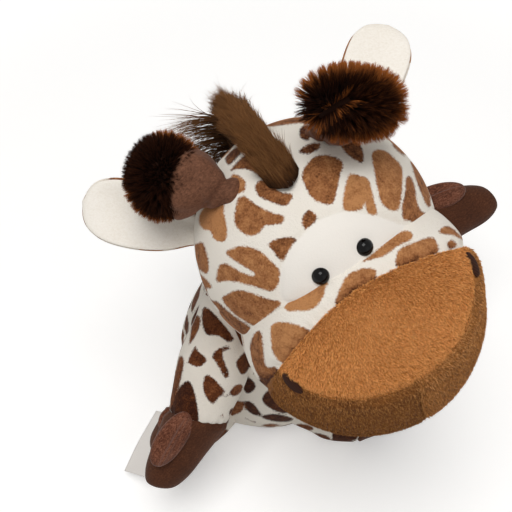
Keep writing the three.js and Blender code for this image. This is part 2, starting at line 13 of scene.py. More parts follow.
import bmesh
import bpy
import numpy as np
from mathutils import Matrix, Vector
from mathutils.kdtree import KDTree


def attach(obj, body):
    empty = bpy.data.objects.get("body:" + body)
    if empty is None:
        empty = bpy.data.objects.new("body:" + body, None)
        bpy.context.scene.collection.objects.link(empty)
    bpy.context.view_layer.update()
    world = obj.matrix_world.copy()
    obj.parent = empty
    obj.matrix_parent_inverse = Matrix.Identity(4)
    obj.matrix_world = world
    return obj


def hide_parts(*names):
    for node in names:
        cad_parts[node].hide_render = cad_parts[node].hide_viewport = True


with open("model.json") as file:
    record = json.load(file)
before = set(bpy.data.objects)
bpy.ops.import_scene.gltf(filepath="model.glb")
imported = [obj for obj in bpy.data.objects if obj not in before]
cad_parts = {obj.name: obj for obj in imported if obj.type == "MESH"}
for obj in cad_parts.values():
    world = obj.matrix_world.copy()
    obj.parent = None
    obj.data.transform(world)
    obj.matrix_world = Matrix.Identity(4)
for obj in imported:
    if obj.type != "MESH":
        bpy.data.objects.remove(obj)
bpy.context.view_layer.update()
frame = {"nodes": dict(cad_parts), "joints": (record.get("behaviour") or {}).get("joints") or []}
MM = 0.001
pivots = {j["name"]: np.array(j["pos_m"]) / MM for j in frame["joints"]}
print("pivots in millimetres:", {name: p.round(1).tolist() for name, p in pivots.items()})

# %% [markdown]
# ## Places
#
# Each sewn body has its own frame: an origin and three axes. The head is turned to the toy's
# left, lifted and tilted. A limb's frame points its X along the limb. In every frame the
# toy's left is positive, and the face looks along minus Y.

# %% Frames for the torso, the head and the limbs


def rotation(axis, degrees):
    return np.array(Matrix.Rotation(math.radians(degrees), 3, axis))


def to_world(points, place):
    origin, axes = place
    return origin + np.asarray(points, float) @ axes.T


def unit(vectors):
    vectors = np.asarray(vectors, float)
    return vectors / np.linalg.norm(vectors, axis=-1, keepdims=True)


def oriented(place, root, along, facing):
    """A frame inside another, with X along one direction and Z facing another."""
    x = unit(along)
    y = unit(np.cross(facing, x))
    axes = np.array([x, y, np.cross(x, y)]).T
    return to_world(root, place), place[1] @ axes


TORSO_YAW = 4
HEAD_YAW, HEAD_PITCH, HEAD_ROLL = 23.9, 19.4, 16.95
head_axes = rotation("Z", HEAD_YAW) @ rotation("X", -HEAD_PITCH) @ rotation("Y", -HEAD_ROLL)
head_place = (pivots["head_turn"], head_axes)
torso_place = (np.zeros(3), rotation("Z", TORSO_YAW))


def limb_place(joint, azimuth, rise):
    return pivots[joint], rotation("Z", TORSO_YAW + azimuth) @ rotation("Y", -rise)


print("the head looks along", (-head_axes[:, 1]).round(3))

# %% [markdown]
# ## The camera
#
# The photograph was taken from close above the toy. The lens follows from the size of the
# head in the picture, and the camera hangs straight behind the picture's centre. The same
# numbers let a point on the toy be found in the photograph, which the print of the fabric
# needs later.

# %% A camera 430 mm from the head, looking 60 degrees down
PHOTO_SIZE = 512
HEAD_RADIUS = 68
HEAD_IN_PHOTO = (314, 237)
HEAD_RADIUS_IN_PHOTO = 122
CAMERA_DISTANCE = 430
CAMERA_DOWN = math.radians(60)
SENSOR = 36

photo_right = np.array([1.0, 0, 0])
photo_up = np.array([0, math.sin(CAMERA_DOWN), math.cos(CAMERA_DOWN)])
photo_back = np.array([0, -math.cos(CAMERA_DOWN), math.sin(CAMERA_DOWN)])
focal = HEAD_RADIUS_IN_PHOTO * math.sqrt(CAMERA_DISTANCE**2 - HEAD_RADIUS**2) / HEAD_RADIUS
head_right = (HEAD_IN_PHOTO[0] - PHOTO_SIZE / 2) / focal * CAMERA_DISTANCE
head_down = (HEAD_IN_PHOTO[1] - PHOTO_SIZE / 2) / focal * CAMERA_DISTANCE
eye_point = head_place[0] - head_right * photo_right + head_down * photo_up
eye_point = eye_point + CAMERA_DISTANCE * photo_back

camera = bpy.data.objects.new("camera", bpy.data.cameras.new("camera"))
bpy.context.scene.collection.objects.link(camera)
camera_axes = Matrix(np.array([photo_right, photo_up, photo_back]).T.tolist())
camera.matrix_world = Matrix.Translation(Vector(eye_point * MM)) @ camera_axes.to_4x4()
camera.data.sensor_width = SENSOR
camera.data.lens = focal * SENSOR / PHOTO_SIZE
camera.data.clip_start = 0.01
bpy.context.scene.camera = camera


def in_photo(points):
    """Where points in millimetres fall in the photograph, in its pixels."""
    offset = np.asarray(points) - eye_point
    depth = -(offset @ photo_back)
    across = PHOTO_SIZE / 2 + focal * (offset @ photo_right) / depth
    down = PHOTO_SIZE / 2 - focal * (offset @ photo_up) / depth
    return np.stack([across, down], 1)


print("lens", round(camera.data.lens, 1), "mm, camera at", (eye_point * MM).round(3).tolist())

# %% [markdown]
# ## Meshes from points
#
# A stuffed body is a ball or a tube whose skin is pushed in at the seams and out between
# them. Numpy moves all the points at once, which is faster than a modifier for each dent.

# %% Helpers that build closed meshes
rng = np.random.default_rng(7)
BOTH_SIDES = ((-1, "right"), (1, "left"))


def unit_ball(level):
    """An even ball of triangles of radius one."""
    shell = bmesh.new()
    bmesh.ops.create_icosphere(shell, subdivisions=level, radius=1)
    points = np.array([v.co for v in shell.verts])
    faces = [[v.index for v in f.verts] for f in shell.faces]
    shell.free()
    return points, faces


def smooth_line(points, steps, closed=False):
    """A smooth line through the points, with a few steps between each two."""
    points = np.asarray(points, float)
    count = len(points)
    spans = count if closed else count - 1
    rows = []
    for i in range(spans):
        at = [i - 1, i, i + 1, i + 2]
        at = [k % count for k in at] if closed else [min(max(k, 0), count - 1) for k in at]
        a, b, c, d = points[at]
        for t in np.arange(steps) / steps:
            cubic = (3 * (b - c) + d - a) * t**3 + (2 * a - 5 * b + 4 * c - d) * t**2
            rows.append((2 * b + (c - a) * t + cubic) / 2)
    if not closed:
        rows.append(points[-1])
    return np.array(rows)


def tube(rings):
    """A closed skin over rings of points, with a point in the middle of each end."""
    count, sides = rings.shape[:2]
    points = np.concatenate([rings.reshape(-1, 3), rings[[0]].mean(1), rings[[-1]].mean(1)])
    faces = []
    for i in range(count - 1):
        for j in range(sides):
            k = (j + 1) % sides
            faces.append([i * sides + j, i * sides + k, (i + 1) * sides + k, (i + 1) * sides + j])
    last = (count - 1) * sides
    for j in range(sides):
        k = (j + 1) % sides
        faces.append([count * sides, k, j])
        faces.append([count * sides + 1, last + j, last + k])
    return points, faces


def revolved(profile, sides):
    """Rings about X from rows of place along X and radius, for tube()."""
    angle = np.arange(sides) * 2 * math.pi / sides
    x, r = np.asarray(profile, float).T
    rings = np.zeros((len(x), sides, 3))
    rings[:, :, 0] = x[:, None]
    rings[:, :, 1] = r[:, None] * np.cos(angle)
    rings[:, :, 2] = r[:, None] * np.sin(angle)
    return rings


def turned(profile, steps, sides):
    """A closed skin turned about X from a profile, with a few steps between its points."""
    return tube(revolved(smooth_line(profile, steps), sides))


def hump(distance, height, width):
    """A smooth swelling along a line, at a distance from that line."""
    return height * np.exp(-((distance / width) ** 2))


def dent(distance, depth, width):
    """How far a seam pulls the skin in, at a distance from it."""
    return -hump(distance, depth, width)


def ease(value, low, high):
    """A smooth step from zero to one."""
    share = np.clip((value - low) / (high - low), 0, 1)
    return share * share * (3 - 2 * share)


def from_axis(points):
    """Directions that point straight away from X."""
    return unit(points * [0, 1, 1] + 1e-9)


def along_skin(vectors, normals):
    """What is left of the vectors once they are laid flat on the skin."""
    return vectors - (vectors * normals).sum(-1, keepdims=True) * normals


LUMP_COUNT = 9
LUMP_WAVES = unit(rng.normal(size=(LUMP_COUNT, 3)))
LUMP_STARTS = rng.uniform(0, 2 * math.pi, LUMP_COUNT)


def lumps(points, size):
    """A smooth unevenness from minus one to one, like hand-packed filling."""
    waves = np.asarray(points) @ LUMP_WAVES.T * 2 * math.pi / size
    return np.sin(waves * np.linspace(0.7, 1.3, LUMP_COUNT) + LUMP_STARTS).mean(1) * 1.8


def make_piece(name, points, faces, material, body, stands_for=(), fields=None):
    """A smooth mesh from points in millimetres that rides on a body of the frame."""
    mesh = bpy.data.meshes.new(name)
    mesh.from_pydata((np.asarray(points) * MM).tolist(), [], faces)
    mesh.polygons.foreach_set("use_smooth", [True] * len(mesh.polygons))
    for field, values in (fields or {}).items():
        layer = mesh.attributes.new(field, "FLOAT", "POINT")
        layer.data.foreach_set("value", np.asarray(values, np.float32))
    mesh.materials.append(material)
    piece = bpy.data.objects.new(name, mesh)
    bpy.context.scene.collection.objects.link(piece)
    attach(piece, body)
    if stands_for:
        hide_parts(*stands_for)
    lowest = round(float(np.asarray(points)[:, 2].min()), 1)
    print(name, len(mesh.polygons), "faces, lowest point", lowest, "mm")
    return piece


def normals_of(points, faces):
    mesh = bpy.data.meshes.new("measure")
    mesh.from_pydata(np.asarray(points).tolist(), [], faces)
    found = np.zeros(len(points) * 3)
    mesh.vertex_normals.foreach_get("vector", found)
    bpy.data.meshes.remove(mesh)
    return found.reshape(-1, 3)


# %% [markdown]
# ## Materials
#
# Every fabric here is polyester pile. What differs is its length and how it lies: minky with
# a print is short and even, the muzzle's pile is brushed to one side, velour is shorter and
# has a sheen, and the mane is long strands. Colours are the sRGB ones seen, and one function
# turns them to linear.

# %% Functions for colour and for nodes


def srgb(code):
    parts = [int(code[i : i + 2], 16) / 255 for i in (1, 3, 5)]
    return [p / 12.92 if p <= 0.04045 else ((p + 0.055) / 1.055) ** 2.4 for p in parts] + [1]


def new_material(name):
    material = bpy.data.materials.new(name)
    material.use_nodes = True
    return material, material.node_tree.nodes["Principled BSDF"]


def connect(owner, node, inputs=None, links=None):
    """Sets a node's sockets: some to a value, and some to what another socket gives."""
    for key, value in (inputs or {}).items():
        node.inputs[key].default_value = value
    for key, socket in (links or {}).items():
        owner.node_tree.links.new(socket, node.inputs[key])


def add(owner, kind, settings=None, inputs=None, links=None):
    """Adds a node to a material, or to the world, and connects it."""
    node = owner.node_tree.nodes.new(kind)
    for key, value in (settings or {}).items():
        setattr(node, key, value)
    connect(owner, node, inputs, links)
    return node


def dye(ramp, first, middle, last):
    """Three stops of a colour ramp, each a place on it and a colour."""
    stops = ramp.elements
    stops[0].position, stops[0].color = first[0], srgb(first[1])
    stops[1].position, stops[1].color = last[0], srgb(last[1])
    stops.new(middle[0]).color = srgb(middle[1])


def per_metre(millimetres):
    """The scale of a texture whose grain is so many millimetres."""
    return 1 / (millimetres * MM)


# %% [markdown]
# ### Printed minky
#
# The white plush carries a print of brown patches with soft, hairy edges. The mesh stores
# three numbers at each point: how far inside a patch it is, in millimetres, how dark that
# patch is, and whether the shaved white lens of the face covers the point. The shader only
# frays the edge and mottles the colours, so the print stays sharp at any distance, and no
# picture is needed.

# %% Printed minky, a short knitted pile
PILE_GRAIN, NAP_GRAIN, CLOUD_SIZE = 0.95, 5, 14
PILE_BUMP, PILE_HEIGHT = 0.75, 0.8
FRAY, FRAY_SOFT = 1.4, 0.6
TONE_SHARE, SPECKLE, NAP = 0.4, 0.5, 0.6
LENS_WHITE, LENS_SHAVED = "#f1ebe2", 0.7
MIX_COLOURS, MULTIPLY_ADD = {"data_type": "RGBA"}, {"operation": "MULTIPLY_ADD"}


def printed_minky(name, white, light, middle, dark):
    """White plush with brown patches, from three numbers that the mesh stores at its points."""
    material, shader = new_material(name)
    where = add(material, "ShaderNodeTexCoord").outputs["Object"]
    inside, lens, tone = [
        add(material, "ShaderNodeAttribute", {"attribute_name": field}).outputs["Fac"]
        for field in ("patch", "lens", "tone")
    ]
    grain, cloudy, nap = [
        add(
            material, "ShaderNodeTexNoise", None,
            {"Scale": per_metre(size), "Detail": detail, "Roughness": roughness}, {"Vector": where},
        ).outputs["Fac"]
        for size, detail, roughness in ((PILE_GRAIN, 3, 0.65), (CLOUD_SIZE, 2, 0.5), (NAP_GRAIN, 4, 0.7))
    ]
    frayed = add(material, "ShaderNodeMath", MULTIPLY_ADD, {1: FRAY * 2}, {0: grain, 2: inside})
    cover = add(
        material, "ShaderNodeMapRange", {"interpolation_type": "SMOOTHSTEP"},
        {"From Min": FRAY - FRAY_SOFT, "From Max": FRAY + FRAY_SOFT}, {"Value": frayed.outputs[0]},
    )
    shade = add(material, "ShaderNodeMath", {"operation": "MULTIPLY"}, {1: SPECKLE}, {0: grain})
    for share, field in ((TONE_SHARE, tone), (NAP, nap)):
        feeds = {0: field, 2: shade.outputs[0]}
        shade = add(material, "ShaderNodeMath", MULTIPLY_ADD, {1: share}, feeds)
    browns = add(material, "ShaderNodeValToRGB", links={"Fac": shade.outputs[0]})
    palest = (SPECKLE + NAP) / 2
    stops = (palest, light), (palest + TONE_SHARE / 2, middle), (palest + TONE_SHARE, dark)
    dye(browns.color_ramp, *stops)
    whites = add(material, "ShaderNodeMix", MIX_COLOURS, {6: srgb(white[0]), 7: srgb(white[1])}, {0: cloudy})
    feeds = {0: lens, 6: whites.outputs[2]}
    shaved = add(material, "ShaderNodeMix", MIX_COLOURS, {7: srgb(LENS_WHITE)}, feeds)
    feeds = {0: cover.outputs["Result"], 6: shaved.outputs[2], 7: browns.outputs["Color"]}
    colour = add(material, "ShaderNodeMix", MIX_COLOURS, links=feeds)
    pile = add(material, "ShaderNodeMath", MULTIPLY_ADD, {1: -LENS_SHAVED, 2: 1}, {0: lens})
    height = add(material, "ShaderNodeMath", {"operation": "MULTIPLY"}, links={0: grain, 1: pile.outputs[0]})
    size = {"Strength": PILE_BUMP, "Distance": PILE_HEIGHT * MM}
    bump = add(material, "ShaderNodeBump", None, size, {"Height": height.outputs[0]})
    look = {"Roughness": 0.95, "Specular IOR Level": 0.15, "Sheen Weight": 0.03, "Sheen Roughness": 0.4}
    connect(material, shader, look, {"Base Color": colour.outputs[2], "Normal": bump.outputs["Normal"]})
    return material


head_minky = printed_minky("minky_print_head", ("#f5eee3", "#ede5d8"), "#bd8555", "#945f39", "#43200f")
# The body's copy of the print has greyer whites and darker browns: partly the body's own darker print, and
# partly painted shade, as the body lies in shade under the head.
body_minky_painted_shade = printed_minky("minky_print_body_painted_shade", ("#ebe4d9", "#dfd7ca"), "#96603a", "#64371c", "#34170a")
print("two printed fabrics")

# %% [markdown]
# ### Brushed pile
#
# The muzzle and the chin are a longer tan pile that hands have brushed sideways. It shows as
# short streaks, each a group of fibres that leans the same way. A noise stretched along the
# brushing makes the streaks, and a broad one the worn, paler areas.

# %% Brushed pile and velour
# The grain of a pile along its brushing, across it and into the cloth, in millimetres.
STREAK, HOOF_GRAIN, EVEN = (1.7, 0.5, 0.5), (1.6, 0.9, 0.9), (1.4, 1, 1)
WORN_SIZE, WORN_SHARE = 26, 0.55


def brushed_pile(name, pale, middle, deep, streak=STREAK, turn=-55, sheen=0.03, bump_mm=0.9, contrast=0.13):
    material, shader = new_material(name)
    where = add(material, "ShaderNodeTexCoord").outputs["Object"]
    lie = {"Rotation": (0, 0, math.radians(turn)), "Scale": [s * MM for s in streak]}
    brushing = add(material, "ShaderNodeMapping", {"vector_type": "TEXTURE"}, lie, {"Vector": where})
    size = {"Scale": 1, "Detail": 4, "Roughness": 0.6, "Distortion": 0.6}
    fibres = add(material, "ShaderNodeTexNoise", None, size, {"Vector": brushing.outputs[0]}).outputs["Fac"]
    size = {"Scale": per_metre(WORN_SIZE), "Detail": 3}
    worn = add(material, "ShaderNodeTexNoise", None, size, {"Vector": where}).outputs["Fac"]
    both = add(material, "ShaderNodeMath", MULTIPLY_ADD, {1: WORN_SHARE}, {0: worn, 2: fibres})
    colour = add(material, "ShaderNodeValToRGB", links={"Fac": both.outputs[0]})
    usual = (1 + WORN_SHARE) / 2
    dye(colour.color_ramp, (usual - contrast, deep), (usual, middle), (usual + contrast, pale))
    size = {"Strength": 0.7, "Distance": bump_mm * MM}
    bump = add(material, "ShaderNodeBump", None, size, {"Height": fibres})
    look = {"Roughness": 0.85, "Specular IOR Level": 0.2, "Sheen Weight": sheen, "Sheen Roughness": 0.35}
    connect(material, shader, look, {"Base Color": colour.outputs["Color"], "Normal": bump.outputs["Normal"]})
    return material


muzzle_pile = brushed_pile("brushed_pile_muzzle", "#c58a52", "#b0733c", "#945b29")
# The chin's browns are darker than the muzzle's: partly its own lying pile, and partly painted shade, as it
# faces down. The panel on the toy's right is a darker copy, painted shade; the left one, whose nap lies
# another way, is painted lighter as the lit side.
chin_brushed_painted_shade = brushed_pile("brushed_chin_painted_shade", "#8f5c2a", "#74461e", "#573316")
chin_brushed_painted_light = brushed_pile("brushed_chin_other_nap_painted_light", "#a97139", "#8b5a2c", "#6d4420", turn=-20)
hoof_velour = brushed_pile("velour_hoof", "#5c3621", "#492816", "#3a1f11", HOOF_GRAIN, 40, 0.05, 0.25, 0.2)
toe_velour = brushed_pile("velour_toe", "#885843", "#653a28", "#4a291b", HOOF_GRAIN, 40, 0.15, 0.4, 0.16)
horn_velour = brushed_pile("velour_horn", "#805640", "#6c4734", "#573727", HOOF_GRAIN, 40, 0.08, 0.25, 0.2)
plain_minky = brushed_pile("minky_plain_lining", "#fbf5eb", "#f8f1e6", "#f2eadd", EVEN, 0, 0.03, 0.3, 0.2)

# %% Satin thread and moulded plastic
# Across its diagonal bands, a wave texture of scale 1 has this many waves to the metre.
DIAGONAL_WAVES = 10 * math.sqrt(3) / (2 * math.pi)


def sewn_thread(name, pale, deep, spacing, roughness, gloss):
    """Satin stitch or a weave: close threads side by side, so many millimetres apart."""
    material, shader = new_material(name)
    where = add(material, "ShaderNodeTexCoord").outputs["Object"]
    size = {"Scale": per_metre(spacing) / DIAGONAL_WAVES, "Distortion": 1.5, "Detail": 2}
    bands = {"bands_direction": "DIAGONAL"}
    threads = add(material, "ShaderNodeTexWave", bands, size, {"Vector": where}).outputs["Fac"]
    colour = add(material, "ShaderNodeMix", MIX_COLOURS, {6: srgb(deep), 7: srgb(pale)}, {0: threads})
    bump = add(material, "ShaderNodeBump", None, {"Strength": 0.5, "Distance": 0.2 * MM}, {"Height": threads})
    look = {"Roughness": roughness, "Specular IOR Level": gloss}
    connect(material, shader, look, {"Base Color": colour.outputs[2], "Normal": bump.outputs["Normal"]})
    return material


nostril_thread = sewn_thread("embroidery_thread", "#3d2116", "#25130b", 1.028, 0.8, 0.12)
label_satin = sewn_thread("woven_satin_ribbon", "#f1ece6", "#ebe5de", 0.8, 0.6, 0.3)
pouch_cloth = sewn_thread("woven_calico", "#d8d3c4", "#bcb6a5", 1.828, 0.45, 0.5)


def moulded_plastic(name, colour, roughness, speckle):
    """Injection moulded plastic: even, with the faint mottle that a mould leaves."""
    material, shader = new_material(name)
    where = add(material, "ShaderNodeTexCoord").outputs["Object"]
    size = {"Scale": per_metre(1.2), "Detail": 2}
    mottle = add(material, "ShaderNodeTexNoise", None, size, {"Vector": where}).outputs["Fac"]
    tint = add(material, "ShaderNodeMix", MIX_COLOURS, {6: srgb(colour), 7: srgb(speckle)}, {0: mottle})
    look = {"Roughness": roughness, "Specular IOR Level": 0.16}
    connect(material, shader, look, {"Base Color": tint.outputs[2]})
    return material


eye_plastic = moulded_plastic("moulded_black_acrylic", "#030202", 0.08, "#060404")
washer_plastic = moulded_plastic("moulded_polythene", "#dcdcd8", 0.4, "#d0d0ca")

# %% [markdown]
# ### Fur
#
# A strand's colour is painted darker at its root, as shade deep in the fur, and lighter near its
# tip, as painted light where the tips catch the lamps. Each mesh of strands stores how far along
# its strand a point is, and one random number for the strand, so that neighbours differ.

# %% Fur strands, coloured from root to tip
STRAND_SPREAD = 0.35
ROOT_STOP, BODY_STOP, TIP_STOP = 0.15, 0.55, 0.95


def fur_fibre(name, root, body, tip):
    material, shader = new_material(name)
    along, strand = [
        add(material, "ShaderNodeAttribute", {"attribute_name": field}).outputs["Fac"]
        for field in ("along", "strand")
    ]
    feeds = {0: strand, 2: along}
    shifted = add(material, "ShaderNodeMath", MULTIPLY_ADD, {1: STRAND_SPREAD}, feeds)
    colour = add(material, "ShaderNodeValToRGB", links={"Fac": shifted.outputs[0]})
    dye(colour.color_ramp, (ROOT_STOP, root), (BODY_STOP, body), (TIP_STOP, tip))
    look = {"Roughness": 0.8, "Specular IOR Level": 0.1}
    connect(material, shader, look, {"Base Color": colour.outputs["Color"]})
    return material


mane_fibre = fur_fibre("long_pile_mane", "#24140a", "#503219", "#7a5230")
tuft_fibre = fur_fibre("dense_pile_tuft", "#0e0402", "#3a1c0c", "#a8612c")
tail_fibre = fur_fibre("long_pile_tail", "#23150a", "#4f3720", "#705433")
print(len(bpy.data.materials), "materials")

# %% [markdown]
# ## The print
#
# On the real toy the giraffe pattern is printed on the cloth before it is cut, so every patch
# is a rounded shape with narrow white lanes between. The patches in view were drawn as
# outlines of a few points each, in the photograph's pixels. Each point of the mesh is looked
# up in the photograph, and gets its distance to the nearest outline. Where the cloth turns
# away from the camera, cells round scattered points take over, with the same lanes.

# %% Distance to drawn outlines
# An outline is heeded as far as this many pixels round it.
MARGIN = 16
OUTLINE_STEPS = 4
CELL_BEND, CELL_BEND_SIZE, CELL_ROUND, TONE_SPREAD = 2.5, 26, 0.8, 0.2


def distance_inside(at, outline):
    """How far points lie inside a closed outline, and less than nothing outside it."""
    a = smooth_line(outline, OUTLINE_STEPS, closed=True)
    b = np.roll(a, -1, axis=0)
    result = np.full(len(at), -float(MARGIN))
    near = np.all((at > a.min(0) - MARGIN) & (at < a.max(0) + MARGIN), axis=1)
    if not near.any():
        return result
    p = at[near][:, None]
    edge = b - a
    share = np.clip(((p - a) * edge).sum(2) / (edge**2).sum(1), 0, 1)
    gap = np.linalg.norm(p - a - share[..., None] * edge, axis=2).min(1)
    crosses = (a[:, 1] > p[..., 1]) != (b[:, 1] > p[..., 1])
    rise = np.where(edge[:, 1] == 0, 1, edge[:, 1])
    left_of = p[..., 0] < a[:, 0] + (p[..., 1] - a[:, 1]) / rise * edge[:, 0]
    odd = (crosses & left_of).sum(1) % 2 == 1
    result[near] = np.where(odd, gap, -np.minimum(gap, MARGIN))
    return result


def traced(points, patches):
    """The print in view: millimetres inside the nearest patch, and that patch's tone."""
    at = in_photo(points)
    size = -((points - eye_point) @ photo_back) / focal
    best = np.full(len(points), -float(MARGIN))
    tone = np.full(len(points), 0.5)
    for patch_tone, outline in patches.values():
        inside = distance_inside(at, outline)
        closer = inside > best
        best[closer], tone[closer] = inside[closer], patch_tone
    return best * size, tone


def cells(points, spacing, lane, darkness, seed):
    """The print out of view: cells round scattered points, with white lanes between."""
    draw = np.random.default_rng(seed)
    low, high = points.min(0) - spacing, points.max(0) + spacing
    counts = np.ceil((high - low) / spacing).astype(int)
    grid = np.stack(np.meshgrid(*[np.arange(c) for c in counts], indexing="ij"), -1).reshape(-1, 3)
    seeds = low + (grid + draw.uniform(0.1, 0.9, grid.shape)) * spacing
    tree = KDTree(len(seeds))
    for i, seed_point in enumerate(seeds):
        tree.insert(seed_point, i)
    tree.balance()
    bent = points + CELL_BEND * np.stack([lumps(points + k * 90, CELL_BEND_SIZE) for k in range(3)], 1)
    tones = draw.uniform(-TONE_SPREAD, TONE_SPREAD, len(seeds)) + darkness
    patch, tone = np.zeros(len(points)), np.zeros(len(points))
    for i, point in enumerate(bent):
        first, second, third = tree.find_n(point, 3)
        gap, corner = second[2] - first[2], third[2] - first[2]
        patch[i] = min((gap - lane) / 2, (CELL_ROUND * corner - lane) / 2)
        tone[i] = tones[first[1]]
    return patch, tone


def facing(points, normals):
    """The cosine of the angle between a normal and the way to the camera."""
    return (unit(eye_point - points) * normals).sum(1)


# %% The patches on the head, and how dark each is
HEAD_PATCHES = {
    "heart": (0.03, [(213, 201), (219, 199), (224, 204), (224, 213), (227, 228), (226, 239), (221, 242),
        (214, 239), (210, 231), (203, 229), (199, 222), (200, 214), (206, 206)]),
    "two lobes": (0.4, [(238, 199), (244, 196), (250, 200), (260, 207), (273, 213), (284, 216), (282, 223),
        (273, 225), (265, 226), (259, 233), (251, 236), (243, 233), (236, 226), (234, 217), (236, 207)]),
    "below the mane": (0.65, [(255, 189), (256, 184), (262, 180), (270, 183), (281, 192), (292, 194),
        (291, 201), (284, 206), (271, 202), (260, 197)]),
    "by the horn": (0.2, [(233, 174), (239, 176), (245, 181), (245, 190), (237, 194), (229, 191),
        (230, 181)]),
    "diamond": (0.6, [(309, 210), (314, 213), (317, 218), (310, 228), (306, 230), (302, 224), (303, 216)]),
    "triangle": (0.6, [(268, 245), (274, 240), (286, 237), (297, 239), (292, 247), (286, 256), (283, 261),
        (279, 259), (273, 251)]),
    "two arms": (0.35, [(226, 252), (234, 248), (243, 246), (258, 250), (270, 260), (280, 271), (279, 282),
        (273, 291), (262, 289), (245, 284), (228, 281), (217, 282), (217, 273), (220, 265), (227, 264),
        (241, 272), (253, 276), (254, 273), (245, 267), (232, 259)]),
    "left edge": (0.45, [(192, 246), (198, 243), (203, 243), (207, 254), (209, 267), (206, 274), (199, 269),
        (194, 265), (191, 254)]),
    "left corner": (0.45, [(200, 275), (206, 279), (212, 287), (207, 288), (200, 282)]),
    "cheek": (0.4, [(222, 299), (228, 294), (238, 290), (252, 293), (268, 299), (281, 302), (275, 310),
        (262, 320), (256, 326), (246, 322), (232, 312)]),
    "lower cheek": (0.6, [(213, 302), (218, 302), (228, 311), (240, 320), (250, 327), (247, 334),
        (238, 335), (230, 331), (219, 314)]),
    "cheek corner": (0.6, [(240, 342), (245, 338), (247, 342), (245, 346)]),
    "crown": (0.5, [(305, 167), (313, 158), (322, 155), (335, 157), (343, 164), (340, 176), (337, 190),
        (333, 203), (325, 204), (313, 199), (305, 186), (302, 176)]),
    "crown, lighter": (0.1, [(350, 174), (358, 175), (368, 179), (371, 187), (375, 203), (377, 214),
        (371, 215), (367, 212), (365, 202), (362, 209), (354, 211), (344, 210), (343, 199), (346, 183)]),
    "tall": (0.27, [(372, 153), (383, 150), (393, 157), (402, 168), (402, 190), (399, 208), (393, 211),
        (384, 206), (379, 196), (375, 175)]),
    "right of it": (0.5, [(406, 178), (411, 177), (415, 188), (418, 205), (425, 213), (440, 216),
        (455, 223), (440, 220), (428, 221), (421, 227), (410, 221), (403, 219), (402, 206), (405, 192)]),
    "right edge": (0.5, [(412, 163), (419, 168), (426, 183), (431, 204), (427, 206), (421, 193), (415, 177)]),
    "behind the horn": (0.75, [(341, 146), (342, 139), (352, 138), (362, 148), (363, 162), (355, 160),
        (346, 153)]),
    "sliver": (0.6, [(392, 145), (398, 146), (407, 157), (401, 154)]),
    "at the stalk": (0.95, [(301, 127), (310, 126), (309, 140), (300, 137)]),
    "back strip": (0.6, [(266, 115), (282, 108), (300, 104), (318, 108), (318, 122), (300, 123), (284, 125),
        (268, 126)]),
    "under the mane": (0.85, [(225, 159), (230, 151), (238, 147), (242, 151), (236, 159), (229, 165)]),
    "under the mane, long": (0.7, [(230, 171), (239, 160), (250, 153), (259, 153), (263, 163), (258, 172),
        (249, 170), (238, 169)]),
    "thin": (0.8, [(299, 152), (305, 146), (313, 143), (321, 144), (317, 150), (308, 154)]),
    "far left": (0.7, [(219, 157), (223, 149), (232, 145), (226, 153)]),
}
print(len(HEAD_PATCHES), "patches on the head")

# %% The patches on the snout, the body and the arms
SNOUT_PATCHES = {
    "under the eye": (0.08, [(284, 306), (292, 299), (311, 289), (328, 281), (325, 289), (323, 297),
        (313, 309), (297, 311), (288, 311)]),
    "at the bridge": (0.2, [(345, 278), (354, 271), (368, 268), (376, 271), (374, 283), (354, 300),
        (342, 310), (335, 304), (339, 291)]),
    "cheek square": (0.12, [(271, 326), (280, 322), (294, 324), (307, 329), (312, 335), (298, 352),
        (288, 364), (278, 360), (272, 350), (271, 340)]),
    "jaw": (0.5, [(255, 333), (261, 332), (263, 345), (266, 366), (276, 367), (285, 378), (300, 393),
        (316, 404), (316, 424), (282, 406), (260, 386), (250, 366), (250, 345)]),
    "beside the eye": (0.2, [(362, 262), (372, 254), (390, 239), (402, 231), (411, 232), (412, 239),
        (398, 246), (384, 256), (370, 260)]),
    "upper square": (0.25, [(396, 258), (400, 249), (415, 242), (430, 237), (436, 241), (438, 253),
        (418, 261), (402, 268), (396, 266)]),
    "far corner": (0.4, [(439, 233), (443, 227), (451, 227), (464, 240), (452, 235)]),
    "far spot": (0.35, [(447, 243), (452, 240), (457, 245), (450, 250)]),
}
ARM_PATCHES = {
    "shoulder left": (0.45, [(191, 313), (200, 318), (198, 331), (189, 345), (191, 330)]),
    "shoulder": (0.72, [(203, 308), (209, 309), (221, 321), (234, 339), (228, 342), (219, 336), (206, 334),
        (202, 320)]),
    "diamond": (0.6, [(188, 361), (195, 346), (198, 351), (207, 360), (199, 367), (190, 364)]),
    "hook": (0.6, [(212, 355), (220, 348), (232, 348), (222, 354), (229, 373), (226, 379), (217, 364)]),
    "triangle": (0.62, [(236, 362), (246, 352), (250, 366), (243, 375), (238, 369)]),
    "elbow": (0.95, [(172, 402), (176, 392), (186, 381), (192, 385), (197, 403), (198, 422), (185, 418),
        (171, 413)]),
    "wedge": (0.62, [(203, 385), (206, 374), (217, 382), (228, 396), (220, 396), (213, 404), (205, 395)]),
    "spot": (0.5, [(230, 391), (234, 386), (241, 384), (243, 389), (238, 395), (232, 396)]),
    "edge": (0.5, [(180, 355), (184, 361), (182, 374), (178, 390), (172, 408), (165, 410),
        (170, 385), (176, 368)]),
}
